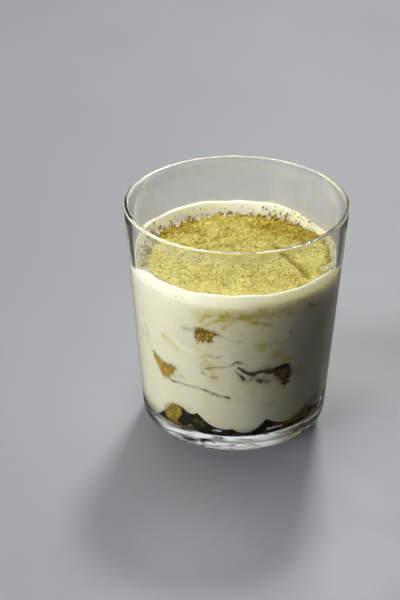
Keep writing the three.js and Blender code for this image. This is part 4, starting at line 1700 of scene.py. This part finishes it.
def add_table(settings):
    """A round table top, level far past the glass and then a parabola upwards as a backdrop."""
    flat = np.linspace(0.05, 1, 8) * TABLE_FLAT
    radius = np.concatenate([flat, np.linspace(TABLE_FLAT, TABLE_REACH, 20)[1:]])
    rise = np.clip(radius - TABLE_FLAT, 0, None) ** 2 / BACKDROP_BEND - TABLE_DROP
    angle = np.linspace(0, 360, TABLE_COLUMNS, endpoint=False)
    rings = around(radius[:, None], angle, rise[:, None])
    points, quads, fans = skin((0, 0, -TABLE_DROP), rings, (0, 0, 0))
    upward = quads[:, ::-1]
    middle = fans[:TABLE_COLUMNS, ::-1]
    table = new_object("table", points[:-1], upward, middle, table_finish(settings))


def add_camera():
    """The camera, level sideways, that looks down at the glass."""
    camera = bpy.data.cameras.new("camera")
    camera.lens = CAMERA_LENS
    camera.clip_start, camera.clip_end = 0.01, 30
    thing = bpy.data.objects.new("camera", camera)
    thing.location = CAMERA_PLACE
    thing.rotation_euler = (math.pi / 2 - CAMERA_PITCH, 0, -CAMERA_YAW)
    bpy.context.scene.collection.objects.link(thing)
    bpy.context.scene.camera = thing


def add_sky(settings):
    """An even, dim sky that brightens smoothly towards one direction behind the glass."""
    world = bpy.data.worlds.new("studio")
    world.use_nodes = True
    tree = world.node_tree
    facing = tree.nodes.new("ShaderNodeVectorMath")
    facing.operation = "DOT_PRODUCT"
    facing.inputs[1].default_value = direction(GLOW_AZIMUTH, GLOW_ELEVATION)
    levels = tree.nodes.new("ShaderNodeMapRange")
    levels.interpolation_type = "SMOOTHSTEP"
    far, near = (math.cos(math.radians(angle)) for angle in GLOW_SPREAD)
    for socket, value in zip(levels.inputs[1:5], (far, near, settings.sky, settings.glow)):
        socket.default_value = value
    background = tree.nodes["Background"]
    background.inputs["Color"].default_value = SKY_COLOUR
    tree.links.new(tree.nodes.new("ShaderNodeTexCoord").outputs["Generated"], facing.inputs[0])
    tree.links.new(facing.outputs["Value"], levels.inputs[0])
    tree.links.new(levels.outputs[0], background.inputs["Strength"])
    bpy.context.scene.world = world


# ---- Operators ----


class PieceOperator:
    """What the operators share: settings by short name, and the glass worked out from them."""

    bl_options = {"REGISTER", "UNDO"}

    def settings(self, context, name):
        return getattr(context.scene, "tiramisu_" + name)

    def tumbler(self, context):
        return Tumbler(self.settings(context, "tumbler"))


class TIRAMISU_OT_stage(PieceOperator, bpy.types.Operator):
    """Add the table, the lights and the camera"""

    bl_idname = "tiramisu.stage"
    bl_label = "Stage"

    def execute(self, context):
        stage = self.settings(context, "stage")
        context.scene.view_settings.view_transform = "Standard"
        for limit, bounces in LIGHT_BOUNCES.items():
            setattr(context.scene.cycles, limit, bounces)
        add_camera()
        add_table(stage)
        for name, box in SOFTBOXES.items():
            add_softbox(name, box, getattr(stage, name + "_power"))
        add_sky(stage)
        return {"FINISHED"}


class TIRAMISU_OT_tumbler(PieceOperator, bpy.types.Operator):
    """Add the glass tumbler"""

    bl_idname = "tiramisu.tumbler"
    bl_label = "Tumbler"

    def execute(self, context):
        shape, attributes = tumbler_shape(self.tumbler(context))
        finish = glass_finish(self.settings(context, "tumbler"))
        new_piece("tumbler", shape, finish, ["glass"], attributes)
        return {"FINISHED"}


class TIRAMISU_OT_cream(PieceOperator, bpy.types.Operator):
    """Add the cream, with its lobes, its rim and the marks on its side"""

    bl_idname = "tiramisu.cream"
    bl_label = "Cream"

    def execute(self, context):
        cream = self.settings(context, "cream")
        shape, stains_and_shading = cream_shape(self.tumbler(context), cream)
        new_piece("cream_filling", shape, cream_finish(cream), ["cream"], stains_and_shading)
        return {"FINISHED"}


class TIRAMISU_OT_soaked_layer(PieceOperator, bpy.types.Operator):
    """Add the soaked sponge layer under the cream"""

    bl_idname = "tiramisu.soaked_layer"
    bl_label = "Soaked layer"

    def execute(self, context):
        shape, crumbs = soaked_shape(self.tumbler(context))
        finish = soaked_finish(self.settings(context, "sponge"))
        new_piece("soaked_layer", shape, finish, ["soaked_base"], crumbs)
        return {"FINISHED"}


class TIRAMISU_OT_sponge_pieces(PieceOperator, bpy.types.Operator):
    """Add the pieces of sponge finger that show at the glass"""

    bl_idname = "tiramisu.sponge_pieces"
    bl_label = "Sponge pieces"

    def execute(self, context):
        settings = self.settings(context, "sponge")
        finishes = {
            False: sponge_finish(settings, "sponge_crumb", wet=False),
            True: sponge_finish(settings, "wet_sponge_crumb", wet=True),
        }
        for seed, name in enumerate(SPONGE_NAMES):
            sponge = SPONGES[name]
            shape, looks = sponge_shape(sponge, self.tumbler(context), seed + 1)
            finger = name.replace("sponge", "finger")
            new_piece(finger, shape, finishes[sponge.wet], [name], looks)
        return {"FINISHED"}


class TIRAMISU_OT_powder(PieceOperator, bpy.types.Operator):
    """Add the layer of tea powder, and the loose grains and clumps on and round it"""

    bl_idname = "tiramisu.powder"
    bl_label = "Tea powder"

    def execute(self, context):
        glass, cream = self.tumbler(context), self.settings(context, "cream")
        powder = self.settings(context, "powder")
        finish = powder_finish(powder)
        shape, clumps = powder_shape(glass, cream, powder)
        new_piece("powder_layer", shape, finish, ["tea_powder"], clumps)
        shape, clumps = grains_shape(glass, cream, powder)
        new_piece("powder_grains", shape, finish, attributes=clumps)
        return {"FINISHED"}


class TIRAMISU_OT_film(PieceOperator, bpy.types.Operator):
    """Add the thin film of cream smeared on the glass above it"""

    bl_idname = "tiramisu.film"
    bl_label = "Film on glass"

    def execute(self, context):
        cream = self.settings(context, "cream")
        shape, smear = film_shape(self.tumbler(context), cream)
        new_piece("cream_film", shape, film_finish(cream), attributes=smear)
        return {"FINISHED"}


OPERATORS = [
    TIRAMISU_OT_stage,
    TIRAMISU_OT_tumbler,
    TIRAMISU_OT_cream,
    TIRAMISU_OT_soaked_layer,
    TIRAMISU_OT_sponge_pieces,
    TIRAMISU_OT_powder,
    TIRAMISU_OT_film,
]


class TIRAMISU_PT_sidebar(bpy.types.Panel):
    """Lists the settings and the operators"""

    bl_idname = "TIRAMISU_PT_sidebar"
    bl_label = "Tiramisu"
    bl_space_type = "VIEW_3D"
    bl_region_type = "UI"
    bl_category = "Tiramisu"

    def draw(self, context):
        for name, group in SETTINGS.items():
            box = self.layout.box()
            for key in group.__annotations__:
                box.prop(getattr(context.scene, name), key)
        for operator in OPERATORS:
            self.layout.operator(operator.bl_idname)


CLASSES = [*SETTINGS.values(), *OPERATORS, TIRAMISU_PT_sidebar]


def register():
    for cls in CLASSES:
        bpy.utils.register_class(cls)
    for name, group in SETTINGS.items():
        setattr(bpy.types.Scene, name, bpy.props.PointerProperty(type=group))


def unregister():
    for name in SETTINGS:
        delattr(bpy.types.Scene, name)
    for cls in reversed(CLASSES):
        bpy.utils.unregister_class(cls)


def main():
    register()
    for operator in OPERATORS:
        family, name = operator.bl_idname.split(".")
        getattr(getattr(bpy.ops, family), name)()


if __name__ == "__main__":
    main()
